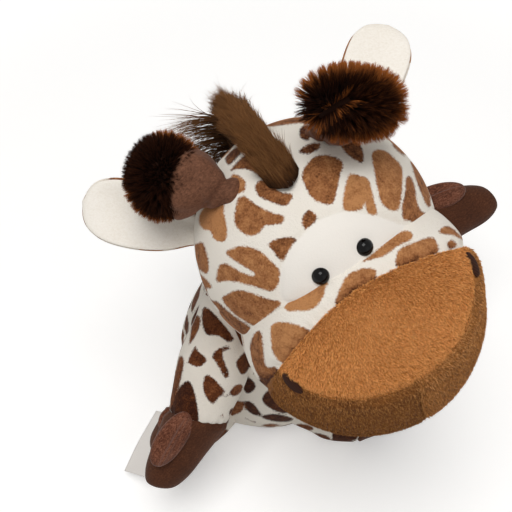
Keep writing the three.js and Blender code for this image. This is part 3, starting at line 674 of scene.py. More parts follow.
# The chest and the belly lie in shade under the head; these outlines are dark partly from the print and
# partly from painted shade.
BODY_PATCHES = {
    "dark spot": (0.95, [(243, 385), (246, 377), (252, 380), (256, 386), (252, 392), (246, 393)]),
    "fold": (0.9, [(244, 402), (249, 401), (255, 405), (259, 411), (262, 416), (254, 415), (246, 409)]),
    "blob": (0.85, [(262, 400), (266, 392), (272, 390), (282, 398), (292, 408), (288, 413),
        (278, 412), (268, 407)]),
    "stripe": (0.95, [(261, 417), (270, 414), (282, 415), (294, 419), (286, 422), (272, 421)]),
    "pale": (0.3, [(228, 402), (243, 402), (242, 411), (234, 415), (228, 416)]),
    "low": (0.35, [(262, 425), (276, 424), (292, 428), (298, 434), (292, 440), (276, 434), (264, 430)]),
    "lower": (0.7, [(302, 434), (316, 433), (329, 437), (330, 446), (312, 446), (302, 441)]),
    "under the chin": (0.9, [(333, 432), (346, 428), (360, 430), (352, 444), (335, 444)]),
    "far low": (0.5, [(297, 424), (308, 425), (314, 429), (306, 431), (298, 429)]),
}
FLANK_PATCHES = {"flank": (0.35, [(172, 372), (178, 376), (171, 400), (168, 416), (162, 417), (165, 396)])}
LEFT_ARM_PATCHES = {
    "upper": (0.1, [(430, 187), (446, 191), (449, 199), (437, 196), (429, 194)]),
    "lower": (0.3, [(431, 200), (446, 208), (447, 219), (434, 210)]),
}
LENS = [(282, 302), (280, 272), (284, 261), (292, 246), (302, 235), (313, 224), (325, 217), (340, 212),
    (355, 212), (373, 215), (388, 219), (404, 225), (414, 229), (400, 245), (370, 268), (340, 286),
    (310, 300)]
print(len(SNOUT_PATCHES) + len(ARM_PATCHES) + len(BODY_PATCHES), "patches lower down")

# %% [markdown]
# ## The head
#
# The cranium is a ball of printed minky, stuffed hard. A lens of plain, shaved white cloth is
# let into its front for the eyes. A ball of small triangles carries the print well, and the
# skin is pushed in along the seam of the lens and round the eyes, as the thread pulls it.

# %% The cranium
HEAD_CELLS = {"spacing": 25, "lane": 4.5, "darkness": 0.45, "seed": 11}
EYE_ASIDE, EYE_RISE, EYE_RADIUS, EYE_DOME = 12.7, 33.5, 4.4, 3.8
HEAD_LUMP, LENS_PUFF, LENS_EDGE = 0.7, 0.5, 0.4
# How deep a thread or a seam pulls the skin in, and how wide the dent is, in millimetres.
EYE_PULL, LENS_PULL, BACK_PULL = (0.9, 6), (0.7, 1.3), (0.8, 1.6)

# How squarely a point has to face the camera for the traced print to begin, to be complete, and for the lens.
SEEN_FROM, SEEN_WELL, LENS_SEEN = 0.05, 0.22, 0.2

ball_points, ball_faces = unit_ball(7)
eye_ahead = math.sqrt(HEAD_RADIUS**2 - EYE_ASIDE**2 - EYE_RISE**2)
eye_spots = {side: np.array([side * EYE_ASIDE, -eye_ahead, EYE_RISE]) for side in (-1, 1)}


def lens_distance(points):
    """Millimetres inside the white lens, for points of the front of the head."""
    size = -((points - eye_point) @ photo_back) / focal
    seen = facing(points, unit(points - head_place[0])) > LENS_SEEN
    return np.where(seen, distance_inside(in_photo(points), LENS) * size, -MARGIN)


def print_fields(patch, tone):
    """What the printed minky reads from a mesh, where there is no white lens."""
    return {"patch": patch, "tone": tone, "lens": np.zeros(len(patch))}


def printed(points, normals, patches, hidden, reach=None):
    """The print all round a piece: traced where it is seen and near an outline, and cells elsewhere."""
    patch, tone = traced(points, patches)
    back_patch, back_tone = cells(points, **hidden)
    seen = ease(facing(points, normals), SEEN_FROM, SEEN_WELL)
    if reach:
        seen = seen * ease(patch, -reach, -reach / 2)
    return print_fields(patch * seen + back_patch * (1 - seen), np.where(seen > 0.5, tone, back_tone))


local = ball_points * HEAD_RADIUS
push = HEAD_LUMP * lumps(local, 60)
for spot in eye_spots.values():
    push += dent(np.linalg.norm(local - spot, axis=1), *EYE_PULL)
head_points = to_world(local, head_place)
in_lens = lens_distance(head_points)
push += dent(in_lens, *LENS_PULL) + LENS_PUFF * ease(in_lens, 1, 8)
push += np.where(local[:, 1] > 0, dent(local[:, 0], *BACK_PULL), 0)
head_points = to_world(local + ball_points * push[:, None], head_place)
head_fields = printed(head_points, ball_points @ head_axes.T, HEAD_PATCHES, HEAD_CELLS)
head_fields["patch"] = np.minimum(head_fields["patch"], -in_lens - 0.2)
head_fields["lens"] = ease(in_lens, -LENS_EDGE, LENS_EDGE)
make_piece("cranium", head_points, ball_faces, head_minky, "head", ["head"], head_fields)

# %% [markdown]
# ## The snout
#
# The snout is one stuffed form sewn from a printed band and three brushed panels: the muzzle
# above the mouth, and two chin panels that meet in the middle. It is made as one ball, pulled
# in along the seams and puffed between them, and then cut by planes into its panels, so that
# the panels meet exactly at the seams.

# %% Shape the snout
SNOUT_HALF, SNOUT_MIDDLE = np.array([65, 73, 50]), np.array([0, -45, -18])
TAN_SEAM, SEAM_SWEEP, SNOUT_BACK = -72, 14, -8
MOUTH_DROP, MOUTH_TILT, CHIN_SEAM = 4.8, math.radians(-4.6), -3
MUZZLE_PUFF, PUCKER, PUCKERED = 1.2, 7, (0.25, 5)
# How deep each seam pulls the cloth in, and how wide the dent is.
CHEEK_PULL, TAN_PULL = (2.6, 4.5), (1.3, 1.6)
MOUTH_PULL, CHIN_PULL, LIP_PULL = (1.5, 2.0), (1.3, 1.8), (0.5, 1.2)
# Where a roll of cloth lies over the mouth seam, and another under it, and how high and wide they are.
OVER_MOUTH, UPPER_ROLL, UNDER_MOUTH, LOWER_ROLL = 6, (0.8, 5), -3.5, (0.7, 2.2)
CHIN_LEAN = -5 * photo_right @ head_axes
mouth_normal = np.array([0, math.sin(MOUTH_TILT), math.cos(MOUTH_TILT)])
mouth_point = np.array([0, SNOUT_MIDDLE[1], MOUTH_DROP])


def seam_sweep(points):
    """How far back the tan seam has swept at each point, towards the sides of the face."""
    return np.array([0, 1, 0]) * (SEAM_SWEEP * (points[:, [0]] / SNOUT_HALF[0]) ** 6)


def snout_lumps(points):
    return 0.8 * lumps(points + 40, 52)


def chin_lean(points):
    """The stuffing has sunk: below the mouth the snout leans to one side."""
    return CHIN_LEAN * ease(-points[:, [2]], -2, 22)


snout = SNOUT_MIDDLE + ball_points * SNOUT_HALF
behind_seam = (snout - seam_sweep(snout))[:, 1] - TAN_SEAM
over_mouth = (snout - mouth_point) @ mouth_normal
off_chin_seam = snout[:, 0] - CHIN_SEAM
around = np.arctan2(snout[:, 0], snout[:, 2] - SNOUT_MIDDLE[2]) * SNOUT_HALF[0]
mouth = dent(over_mouth, *MOUTH_PULL)
mouth += hump(over_mouth - OVER_MOUTH, *UPPER_ROLL) + hump(over_mouth - UNDER_MOUTH, *LOWER_ROLL)
crease = dent(off_chin_seam + 0.2 * over_mouth, *LIP_PULL) * np.exp(-over_mouth / 12)
mouth += np.where(over_mouth < 0, dent(off_chin_seam, *CHIN_PULL), crease)
push = snout_lumps(snout)
push += np.where(behind_seam > 0, dent(behind_seam, *CHEEK_PULL), dent(behind_seam, *TAN_PULL))
push += np.sin(around * 2 * math.pi / PUCKER) * hump(behind_seam, *PUCKERED)
push += MUZZLE_PUFF * ease(-behind_seam, 0, 9) + mouth * ease(-behind_seam, 0, 10)
snout = snout + unit(ball_points / SNOUT_HALF) * push[:, None]
straight_snout = snout - seam_sweep(snout)
print("the snout reaches", round(-straight_snout[:, 1].min()), "mm forward of the middle of the head")

# %% Cut the snout into panels
# The shade where the cheeks dive under the tan seam: how dark it is, and how wide.
SEAM_SHADE = (0.9, 2.6)


def keep_side(mesh, point, normal):
    """Cuts a mesh by a plane, keeps the side that the normal points to, and closes it."""
    found = bmesh.ops.bisect_plane(
        mesh,
        geom=mesh.verts[:] + mesh.edges[:] + mesh.faces[:],
        plane_co=point,
        plane_no=normal,
        clear_inner=True,
    )
    rim = [e for e in found["geom_cut"] if isinstance(e, bmesh.types.BMEdge)]
    bmesh.ops.edgenet_fill(mesh, edges=rim)


def panel(planes):
    """The part of the snout that lies inside the planes, closed where they cut."""
    mesh = bmesh.new()
    verts = [mesh.verts.new(p) for p in straight_snout]
    for face in ball_faces:
        mesh.faces.new([verts[i] for i in face])
    for point, normal in planes:
        keep_side(mesh, point, normal)
    mesh.verts.index_update()
    points = np.array([v.co for v in mesh.verts])
    faces = [[v.index for v in f.verts] for f in mesh.faces]
    mesh.free()
    return points + seam_sweep(points) + chin_lean(points), faces


def flat_caps(piece):
    """The cut faces inside the snout stay flat, so that they don't spoil the shading."""
    caps = [face for face in piece.data.polygons if face.loop_total > 4]
    rims = {key for face in caps for key in face.edge_keys}
    for face in caps:
        face.use_smooth = False
    for edge in piece.data.edges:
        edge.use_edge_sharp = edge.key in rims


front = ([0, TAN_SEAM, 0], [0, -1, 0])
above, below = (mouth_point, mouth_normal), (mouth_point, -mouth_normal)
cheek_points, cheek_faces = panel([([0, TAN_SEAM, 0], [0, 1, 0]), ([0, SNOUT_BACK, 0], [0, -1, 0])])
cheek_world = to_world(cheek_points, head_place)
cheek_normals = unit((cheek_points - SNOUT_MIDDLE) / SNOUT_HALF**2) @ head_axes.T
cheek_fields = printed(cheek_world, cheek_normals, SNOUT_PATCHES, dict(HEAD_CELLS, seed=12))
seam_shade = hump((cheek_points - seam_sweep(cheek_points))[:, 1] - TAN_SEAM, *SEAM_SHADE)
cheek_fields["tone"] = cheek_fields["tone"] + seam_shade
cheeks = make_piece(
    "cheeks", cheek_world, cheek_faces, head_minky, "head", ["snout"], cheek_fields
)
flat_caps(cheeks)
left, right = ([CHIN_SEAM, 0, 0], [1, 0, 0]), ([CHIN_SEAM, 0, 0], [-1, 0, 0])
brushed_panels = {}
for name, planes, material, slot, node in (
    ("muzzle_top", [front, above], muzzle_pile, "tan_plush", "muzzle"),
    ("chin_panel_left", [front, below, left], chin_brushed_painted_light, "chin_plush", "chin_left"),
    ("chin_panel_right", [front, below, right], chin_brushed_painted_shade, "chin_plush", "chin_right"),
):
    points, faces = brushed_panels[name] = panel(planes)
    points = to_world(points, head_place)
    flat_caps(make_piece(name, points, faces, material, "head", [node]))

# %% [markdown]
# ## Eyes and nostrils
#
# Safety eyes are single mouldings of black acrylic with a polished dome. A dome is a turned
# profile. The nostrils are satin stitch: close threads over a little padding, so each is a
# small cushion that follows the snout.

# %% Eyes
EYE_SUNK = 0.5


def polished_dome(side):
    """A dome turned about the line that looks out of the head."""
    place = oriented(head_place, eye_spots[side], eye_spots[side], [0, 0, 1])
    turn = np.linspace(0, math.pi / 2, 22)
    profile = [[-1.6, EYE_RADIUS * 0.8], [-0.8, EYE_RADIUS * 0.97], [-0.2, EYE_RADIUS]]
    profile += [[EYE_DOME * math.sin(a), EYE_RADIUS * math.cos(a)] for a in turn[:-1]]
    profile += [[EYE_DOME, 0.02]]
    points, faces = tube(revolved(profile, 48))
    return to_world(points - [EYE_SUNK, 0, 0], place), faces


for side, name in BOTH_SIDES:
    points, faces = polished_dome(side)
    make_piece(f"acrylic_eye_{name}", points, faces, eye_plastic, "head", [f"eye_{name}"])

# %% Nostrils
NOSTRIL_LENGTH, NOSTRIL_WIDTH, NOSTRIL_THICK = 13.5, 5.6, 1.2
NOSTRIL_PLACE, NOSTRIL_TILT = np.array([52, -78, 2]), math.radians(-20)
NOSTRIL_ALONG = np.array([0, math.cos(NOSTRIL_TILT), -math.sin(NOSTRIL_TILT)])
NOSTRIL_ACROSS = np.array([0, math.sin(NOSTRIL_TILT), math.cos(NOSTRIL_TILT)])
small_points, small_faces = unit_ball(5)


def stitched_oval(side):
    """A cushion of stitches, laid on the skin of the snout."""
    at = NOSTRIL_PLACE * [side, 1, 1] + small_points[:, [0]] * NOSTRIL_ALONG * NOSTRIL_LENGTH / 2
    at = at + small_points[:, [1]] * NOSTRIL_ACROSS * NOSTRIL_WIDTH / 2
    share = (at - SNOUT_MIDDLE) / SNOUT_HALF
    at[:, 0] = side * SNOUT_HALF[0] * np.sqrt(1 - share[:, 1] ** 2 - share[:, 2] ** 2)
    normal = unit((at - SNOUT_MIDDLE) / SNOUT_HALF**2)
    skin = snout_lumps(at)[:, None] + MUZZLE_PUFF
    return at + normal * (small_points[:, [2]] * NOSTRIL_THICK + skin)


for side, name in BOTH_SIDES:
    points, node = to_world(stitched_oval(side), head_place), f"nostril_{name}"
    make_piece(f"stitched_{node}", points, small_faces, nostril_thread, "head", [node])

# %% [markdown]
# ## The body
#
# The body is a pear-shaped bag, cut from a front and a back that meet in side seams, on a flat
# round seat. A turned profile with the seams pulled in gives its shape. The cells of the print
# are smaller and darker than on the head: partly a darker print, and partly painted shade.

# %% The torso, the seat and the neck
TORSO_HEIGHT, TORSO_RADIUS, TORSO_DEPTH, TORSO_LEAN = 152, 67, 0.96, 0.06
TORSO_SHARES = [(0.62, -0.012), (0.76, -0.008), (0.84, 0.008), (0.95, 0.07), (1, 0.24), (0.94, 0.46),
    (0.8, 0.7), (0.63, 0.87), (0.42, 0.97), (0.2, 1.0), (0.02, 1.0)]
SEAT_TOP, SIDE_SEAM_TOP, SIDE_PULL, BODY_LUMP = 3.3, 140, (1.0, 2), 1.1
BODY_CELLS, BODY_REACH = {"spacing": 22, "lane": 3.6, "darkness": 0.65, "seed": 21}, 5


def stood_up(points, depth=1):
    """A shape turned about X, stood on its end."""
    return np.stack([points[:, 1], points[:, 2] * depth, points[:, 0]], 1)


def pear():
    """The bag of the body, with a seam up each side that ends under the neck."""
    profile = smooth_line(TORSO_SHARES, 10)
    height = SEAT_TOP + profile[:, 1] * (TORSO_HEIGHT - SEAT_TOP)
    points, faces = tube(revolved(np.stack([height, profile[:, 0] * TORSO_RADIUS], 1), 168))
    off_seam = np.where(points[:, 0] < SIDE_SEAM_TOP, points[:, 2], np.inf)
    push = dent(off_seam, *SIDE_PULL) + BODY_LUMP * lumps(points, 45)
    points = stood_up(points + from_axis(points) * push[:, None], TORSO_DEPTH)
    points[:, 0] += TORSO_LEAN * points[:, 2]
    return to_world(points, torso_place), faces


points, faces = pear()
fields = printed(points, normals_of(points, faces), BODY_PATCHES, BODY_CELLS, BODY_REACH)
make_piece("body_bag", points, faces, body_minky_painted_shade, "torso", ["torso"], fields)

SEAT_RADIUS = 51.5
seat_profile = [(0.0, SEAT_RADIUS - 3), (0.4, SEAT_RADIUS - 1), (1.4, SEAT_RADIUS), (2.6, SEAT_RADIUS - 0.4),
    (3.0, SEAT_RADIUS - 2)]
points, faces = turned(seat_profile, 3, 96)
points = to_world(stood_up(points, TORSO_DEPTH), torso_place)
make_piece("seat_cloth", points, faces, plain_minky, "torso", ["seat_panel"])

NECK_LOW, NECK_HIGH, NECK_RADIUS, NECK_X, NECK_BACK = 118, 190, 33, 10, 13
neck_profile = [(NECK_LOW, 30), (128, 33.5), (145, 34), (165, 33), (182, 30), (NECK_HIGH, 24)]
points, faces = turned(neck_profile, 8, 110)
points = to_world(stood_up(points) + [NECK_X, NECK_BACK, 0], torso_place)
fields = print_fields(*cells(points, 20, 5, 0.7, 31))
make_piece("neck_tube", points, faces, body_minky_painted_shade, "torso", ["neck"], fields)

# %% [markdown]
# ## The limbs
#
# Each limb is a sleeve of printed minky, sewn to a hoof of brown velour. The hoof has two
# stuffed lobes: the large one, and a smaller one that lies on it like a thumb. Both come from
# turned profiles. The sleeve is nipped at the seam, and the hoof leans to one side.

# %% Sleeves and hooves
LIMB_BALL = 20
ARM_SIZE = {"cuff": 72, "hoof": 51, "root": 20, "mid": 24, "wrist": 21}
LEG_SIZE = {"cuff": 46, "hoof": 32, "root": 22, "mid": 24.5, "wrist": 22.5}
RIM = [(0.95, 0.16), (0.86, 0.42), (0.73, 0.74), (0.52, 0.93), (0.28, 0.99), (0.02, 1.0)]
TOE = {"share": 0.74, "wide": 10, "tall": 9, "out": 6.5, "up": 19.5, "back": 4}
LIMB_CELLS, SLEEVE_REACH = {"spacing": 19, "lane": 4.2, "darkness": 0.6}, 9
# How deep the seam is, how high the gathers at the cuff are, each with its width, and how many gathers.
SLEEVE_PULL, SLEEVE_GATHERED, SLEEVE_GATHERS = (0.9, 1.8), (0.35, 5), 17
HOOF_PULL, HOOF_GATHERED, HOOF_GATHERS = (0.6, 1.4), (0.3, 4), 19


def sleeve(size):
    """A tube with a round end inside the shoulder, nipped where it meets the hoof."""
    cuff, wrist = size["cuff"], size["wrist"]
    back = np.linspace(math.pi * 0.98, math.pi * 0.62, 6)
    profile = [(LIMB_BALL * math.cos(a), LIMB_BALL * math.sin(a)) for a in back]
    profile += [(LIMB_BALL * 0.5, size["root"] - 0.5), (cuff * 0.5, size["mid"])]
    profile += [(cuff * 0.85, wrist + 0.4), (cuff - 1, wrist - 1.4), (cuff + 1.5, wrist - 4)]
    points, faces = turned(profile, 8, 110)
    turn = np.arctan2(points[:, 2], points[:, 1])
    push = dent((turn + math.pi / 2) * size["mid"], *SLEEVE_PULL) + 0.8 * lumps(points + 30, 34)
    push += np.sin(turn * SLEEVE_GATHERS) * hump(points[:, 0] - cuff, *SLEEVE_GATHERED)
    push *= points[:, 0] > 2 - LIMB_BALL
    return points + from_axis(points) * push[:, None], faces


def hoof(size, bend):
    """The large lobe, with a ridge under it, leaning to one side."""
    cuff, length, wide = size["cuff"], size["hoof"], size["wrist"] + 0.5
    profile = [(cuff - 1.5, wide - 4.5), (cuff + 0.8, wide - 2), (cuff + length * 0.08, wide - 0.6)]
    points, faces = turned(profile + [(cuff + length * x, wide * r) for r, x in RIM], 7, 88)
    turn, past = np.arctan2(points[:, 2], points[:, 1]), points[:, 0] - cuff
    push = dent(np.sin(turn) * wide, *HOOF_PULL) * (np.cos(turn) < 0) + 0.8 * lumps(points - 20, 30)
    push += np.sin(turn * HOOF_GATHERS) * hump(past, *HOOF_GATHERED)
    points = points + from_axis(points) * push[:, None]
    points[:, 1] += bend * np.maximum(past, 0)
    return points, faces


def toe(size, bend, side):
    """The smaller lobe, of two layers sewn along a ridge on its top."""
    half = size["hoof"] * TOE["share"] / 2
    middle = half - TOE["back"]
    points = small_points * [half, TOE["wide"], TOE["tall"]]
    points[:, 0] *= 1 - 0.06 * small_points[:, 2]
    top = small_points[:, 2] > 0
    lift = hump(points[:, 1] + 3.2 * side, 3.2, 1.5) * top
    hollow = dent(points[:, 1] - 2.4 * side, 4.5, 4.5) * top * (1 - small_points[:, 0] ** 2)
    points[:, 2] += (lift + hollow) * ease(small_points[:, 2], 0, 0.4)
    points = points + small_points * (0.5 * lumps(points, 16))[:, None]
    points[:, 1] += bend * points[:, 0]
    aside = side * TOE["out"] + bend * middle
    return points + [size["cuff"] + middle, aside, TOE["up"]], small_faces


def bowed(points, size, bow):
    """Bends a limb sideways: a curve as far as the cuff, and straight on from there."""
    share = np.maximum(points[:, 0], 0) / size["cuff"]
    curve = np.where(share < 1, share**2, 2 * share - 1)
    return points + [0, bow, 0] * curve[:, None]


def limb(name, size, joint, side, aim, bend, patches, seed, bow=0):
    """The three pieces of an arm or a leg."""
    place = limb_place(joint, *aim)
    points, faces = sleeve(size)
    world = to_world(bowed(points, size, bow), place)
    fields = printed(world, normals_of(world, faces), patches, dict(LIMB_CELLS, seed=seed), SLEEVE_REACH)
    make_piece(f"{name}_sleeve", world, faces, body_minky_painted_shade, name, [name], fields)
    lobes = {"hoof": (hoof(size, bend), hoof_velour), "toe": (toe(size, bend, side), toe_velour)}
    for lobe, ((points, faces), velour) in lobes.items():
        world, node = to_world(bowed(points, size, bow), place), f"{name}_{lobe}"
        make_piece(f"{name}_velour_{lobe}", world, faces, velour, name, [node])


limb("arm_right", ARM_SIZE, "arm_right_lift", -1, (-107, -27), -0.2, ARM_PATCHES, 45, -4.5)
limb("arm_left", ARM_SIZE, "arm_left_lift", 1, (33, 8), -0.3, LEFT_ARM_PATCHES, 42)
limb("leg_right", LEG_SIZE, "leg_right_swing", -1, (-134, -1), 0, FLANK_PATCHES, 43)
limb("leg_left", LEG_SIZE, "leg_left_swing", 1, (-17, -1), 0.4, BODY_PATCHES, 44)

# %% [markdown]
# ## The ears
#
# An ear is a leaf of printed minky with a white lining, lightly padded and cupped. The cloth of
# the back is a little larger, so it rolls round the edge and shows from the front as a thin
# brown line. Both layers are lofted from rings across the leaf.

# %% Leaf-shaped ears with a rolled edge
EAR_LENGTH, EAR_HALF_WIDTH, EAR_CUP, EAR_SIDES = 65, 18.5, 5, 64
EAR_ROOT = (54, 28, 29)
LEAF = [(-0.06, 0.42), (0, 0.5), (0.2, 0.82), (0.45, 1), (0.7, 1), (0.87, 0.8), (0.96, 0.48), (1, 0.04)]
EAR_AIM = {"right": (-0.67, 0.51, 0.54), "left": (0.79, 0.6, 0.24)}
EAR_FACE = {"right": (-0.25, -0.62, 0.74), "left": (-0.1, -0.7, 0.7)}


def leaf(base, thickness, share, side):
    """A padded leaf whose edges roll up towards its face."""
    angle = np.arange(EAR_SIDES) * 2 * math.pi / EAR_SIDES
    middle = EAR_LENGTH / 2
    rings = []
    for x, half in smooth_line(LEAF, 7):
        y = half * EAR_HALF_WIDTH * share * np.cos(angle)
        thick = thickness * (0.45 + 0.55 * half)
        rise = EAR_CUP * (y / EAR_HALF_WIDTH) ** 2 + base + thick / 2 * (1 + np.sin(angle))
        crease = hump(y - side * 4, 1.4, 3) * max(0, 0.5 - x) * 2
        length = middle + (x * EAR_LENGTH - middle) * (1 - (1 - share) * 0.6)
        rings.append(np.stack([np.full(EAR_SIDES, length), y, rise - crease], 1))
    points, faces = tube(np.array(rings))
    return points + [0, 0, 0.8] * lumps(points, 26)[:, None], faces


for side, name in BOTH_SIDES:
    ear, lining = f"ear_{name}", f"ear_lining_{name}"
    place = oriented(head_place, np.array(EAR_ROOT) * [side, 1, 1], EAR_AIM[name], EAR_FACE[name])
    points, faces = leaf(0, 3.6, 1.0, side)
    world = to_world(points, place)
    fields = print_fields(*cells(world, 30, 3, 0.3, 51 + side))
    make_piece(f"ear_back_{name}", world, faces, head_minky, ear, [ear], fields)
    points, faces = leaf(1.5, 8.5, 0.945, side)
    world = to_world(points, place)
    make_piece(f"ear_front_{name}", world, faces, plain_minky, ear, [lining])

# %% [markdown]
# ## The horns
#
# A horn is a short club of velour, soft enough to flop and fold, with a thick tuft of dense
# fur sewn on its wide end. The fur is modelled as strands: each is a narrow ribbon of a few
# faces that starts on a core and ends in a point, and neighbours lean together in clumps.

# %% Horn stalks
HORN_BASE = (27, -1, 62)
HORN_AIM = {"right": (-0.68, 0.56, 0.47), "left": (0.45, -0.66, 0.6)}
STALK = [(-8.5, 1.5), (-6.5, 5), (-3, 7.6), (1, 8), (6, 10.5), (12, 14), (18, 17), (24, 18.5), (28, 13),
    (29, 1)]
STALK_SQUEEZE, FOLD_PULL, CREASE_PULL = {"right": 1, "left": 0.76}, (2.0, 1.8), (1.3, 2.2)
horn_places = {
    name: oriented(head_place, np.array(HORN_BASE) * [side, 1, 1], HORN_AIM[name], [0, -1, 0])
    for side, name in BOTH_SIDES
}


def stalk(squeeze):
    """The club of velour. The left one is folded under its tuft, and so is narrower."""
    points, faces = turned(STALK, 7, 72)
    points *= [1, squeeze, squeeze]
    push = dent(points[:, 0] - 6 - 0.45 * points[:, 1], *FOLD_PULL)
    push += dent(points[:, 0] - 15 + 0.4 * points[:, 1] + 0.3 * points[:, 2], *CREASE_PULL)
    push += 1.1 * lumps(points, 15)
    return points + from_axis(points) * push[:, None], faces


for name, place in horn_places.items():
    points, faces = stalk(STALK_SQUEEZE[name])
    world, horn, node = to_world(points, place), f"horn_{name}", f"horn_stalk_{name}"
    make_piece(f"velour_stalk_{name}", world, faces, horn_velour, horn, [node])

# %% A function that grows strands
CORE_SHADE = 0.2


def each_point(values, steps):
    """One value for each strand, repeated for all the points of its ribbon."""
    return np.repeat(values, (steps + 1) * 2)


def gather_into_clumps(roots, tips, count, hold):
    """Moves the tips of neighbouring strands towards each other."""
    middles = rng.choice(len(roots), count, replace=False)
    tree = KDTree(count)
    for i, m in enumerate(middles):
        tree.insert(roots[m], i)
    tree.balance()
    nearest = middles[[tree.find(r)[1] for r in roots]]
    return tips + (tips[nearest] - tips) * hold[:, None]


def grow(roots, start, finish, lengths, width, steps, clumps, hold, waver):
    """Ribbons that leave their roots in one direction and turn towards another."""
    count = len(roots)
    share = np.linspace(0, 1, steps + 1)[None, :, None]
    tips = roots + lengths[:, None] * (start * 0.5 + finish * 0.5)
    held = gather_into_clumps(roots, tips, clumps, rng.uniform(0.3, 1, count) * hold)
    bend = start[:, None] * (share - share**2 / 2) + finish[:, None] * share**2 / 2
    path = roots[:, None] + lengths[:, None, None] * bend + (held - tips)[:, None] * share**1.6
    path = path + rng.normal(size=(count, 1, 3)) * waver * share**2
    tangent = unit(np.gradient(path, axis=1))
    across = unit(np.cross(tangent, unit(rng.normal(size=(count, 1, 3)))))
    half = width / 2 * (1 - share**2 * 0.92) * rng.uniform(0.7, 1.3, (count, 1, 1))
    points = np.stack([path - across * half, path + across * half], 2).reshape(-1, 3)
    first = np.arange(count)[:, None] * (steps + 1) * 2 + np.arange(steps)[None] * 2
    faces = np.stack([first, first + 1, first + 3, first + 2], -1).reshape(-1, 4).tolist()
    along = np.broadcast_to(share[..., None], (count, steps + 1, 2, 1)).reshape(-1)
    return points, faces, along, each_point(rng.uniform(0, 1, count), steps)


def with_core(core, strands):
    """One piece of fur: a dark closed core and the strands on it."""
    points, faces = core
    grown, ribbons, along, strand = strands
    shift = len(points)
    faces = faces + [[i + shift for i in f] for f in ribbons]
    under = np.full(shift, CORE_SHADE)
    fields = {"along": np.concatenate([under, along]), "strand": np.concatenate([under, strand])}
    return np.concatenate([points, grown]), faces, fields


core_points, core_faces = unit_ball(4)

# %% [markdown]
# ### The nap of the muzzle
#
# The brushed panels get a thin coat of real short fibres over their shaded cloth. They hang
# over the seams and soften the outline against the light, which a flat shader cannot do.

# %% Short fibres on the brushed panels
NAP_LENGTH, NAP_WIDTH, NAP_STEPS, NAP_SWIRL = 2.1, 0.3, 2, 0.5
NAP_STRANDS = {"muzzle_top": 36000, "chin_panel_left": 18000, "chin_panel_right": 18000}
NAP_LIE, NAP_FROM, NAP_SUNK = np.array([0.1, -0.45, -1]), 20, 0.3
NAP_CLUMPS, NAP_HOLD, NAP_WAVER = 4500, 0.45, 0.2
# The chin's fibres are darker than the muzzle's, partly painted shade, and the right panel's are a darker
# copy of the left's: painted shade.
nap_fibres = {
    "muzzle_top": fur_fibre("short_nap_muzzle", "#925825", "#c57f3f", "#efac68"),
    "chin_panel_left": fur_fibre("short_nap_chin_left_painted_light", "#6c4420", "#a96f3c", "#dca265"),
    "chin_panel_right": fur_fibre("short_nap_chin_right_painted_shade", "#4e2d10", "#7d4e26", "#c48c53"),
}


def clear_of_nostrils(points):
    """True for roots that leave the embroidery bare."""
    clear = np.ones(len(points), bool)
    for side in (-1, 1):
        offset = points - stitched_oval(side).mean(0)
        along = offset @ NOSTRIL_ALONG
        across = np.linalg.norm(offset - along[:, None] * NOSTRIL_ALONG, axis=1)
        clear &= (along / (NOSTRIL_LENGTH / 2)) ** 2 + (across / (NOSTRIL_WIDTH / 2 + 0.3)) ** 2 > 1
    return clear


for name, (skin, faces) in brushed_panels.items():
    outer = np.where(SNOUT_MIDDLE[1] - skin[:, 1] > NAP_FROM)[0]
    pick = rng.choice(outer, NAP_STRANDS[name])
    outward = normals_of(skin, faces)[pick]
    shake = along_skin(rng.normal(size=outward.shape) * 0.7, outward)
    roots = skin[pick] + shake - NAP_SUNK * outward
    keep = clear_of_nostrils(roots)
    roots, outward = roots[keep], outward[keep]
    swirl = NAP_SWIRL * np.stack([lumps(roots + 70 * k, 38) for k in range(3)], 1)
    lie = unit(along_skin(NAP_LIE + swirl + 0.25 * rng.normal(size=roots.shape), outward))
    lengths = NAP_LENGTH * rng.uniform(0.6, 1.2, len(roots))
    start, finish = unit(lie + 0.9 * outward), unit(lie + 0.25 * outward)
    points, ribbons, along, strand = grow(
        roots, start, finish, lengths, NAP_WIDTH, NAP_STEPS, NAP_CLUMPS, NAP_HOLD, NAP_WAVER
    )
    # On the chin panels the fibres are painted darker away from the mouth seam: painted shade under the
    # snout.
    under_seam = np.maximum((mouth_point - roots) @ mouth_normal, 0)
    painted_light = np.ones(len(roots)) if name == "muzzle_top" else 0.65 + 0.35 * np.exp(-under_seam / 6)
    fields = {"along": along * each_point(painted_light, NAP_STEPS), "strand": strand}
    world = to_world(points, head_place)
    make_piece(f"nap_{name}", world, ribbons, nap_fibres[name], "head", fields=fields)

# %% The tufts on the horns
TUFT = {
    "right": {"radii": (21, 24, 24), "ahead": 34.3, "pile": 10, "clumps": 900, "rust": (60, 0.25)},
    "left": {"radii": (20, 30, 20), "ahead": 39.3, "pile": 14, "clumps": 520, "rust": (45, 0.35)},
}
TUFT_MOVED = {"right": np.zeros(3), "left": -2.5 * photo_right - 1.2 * photo_up}
TUFT_STRANDS, TUFT_STEPS, TUFT_WIDTH, TUFT_HOLD, TUFT_WAVER = 18000, 5, 0.5, 0.85, 0.25
# Painted rim light comes in over this many degrees, on strands that lean away from the camera;
# those that point at it stay dark, as painted shade. On the right tuft it keeps to two sides.
TIP_LIGHT_OVER, TIP_LIGHT_WAY = 32, 0.5 * photo_right + 0.85 * photo_up
# The left tuft parts along a short slit, painted dark inside as shade, with painted highlights on its lips.
SLIT_TURN, SLIT_LENGTH, SLIT_GAP, SLIT_LIP = math.radians(30), 26, 1.5, 2.3
SLIT_SHIFT, SLIT_RISE, SLIT_REACH = 11, 4.5, 9

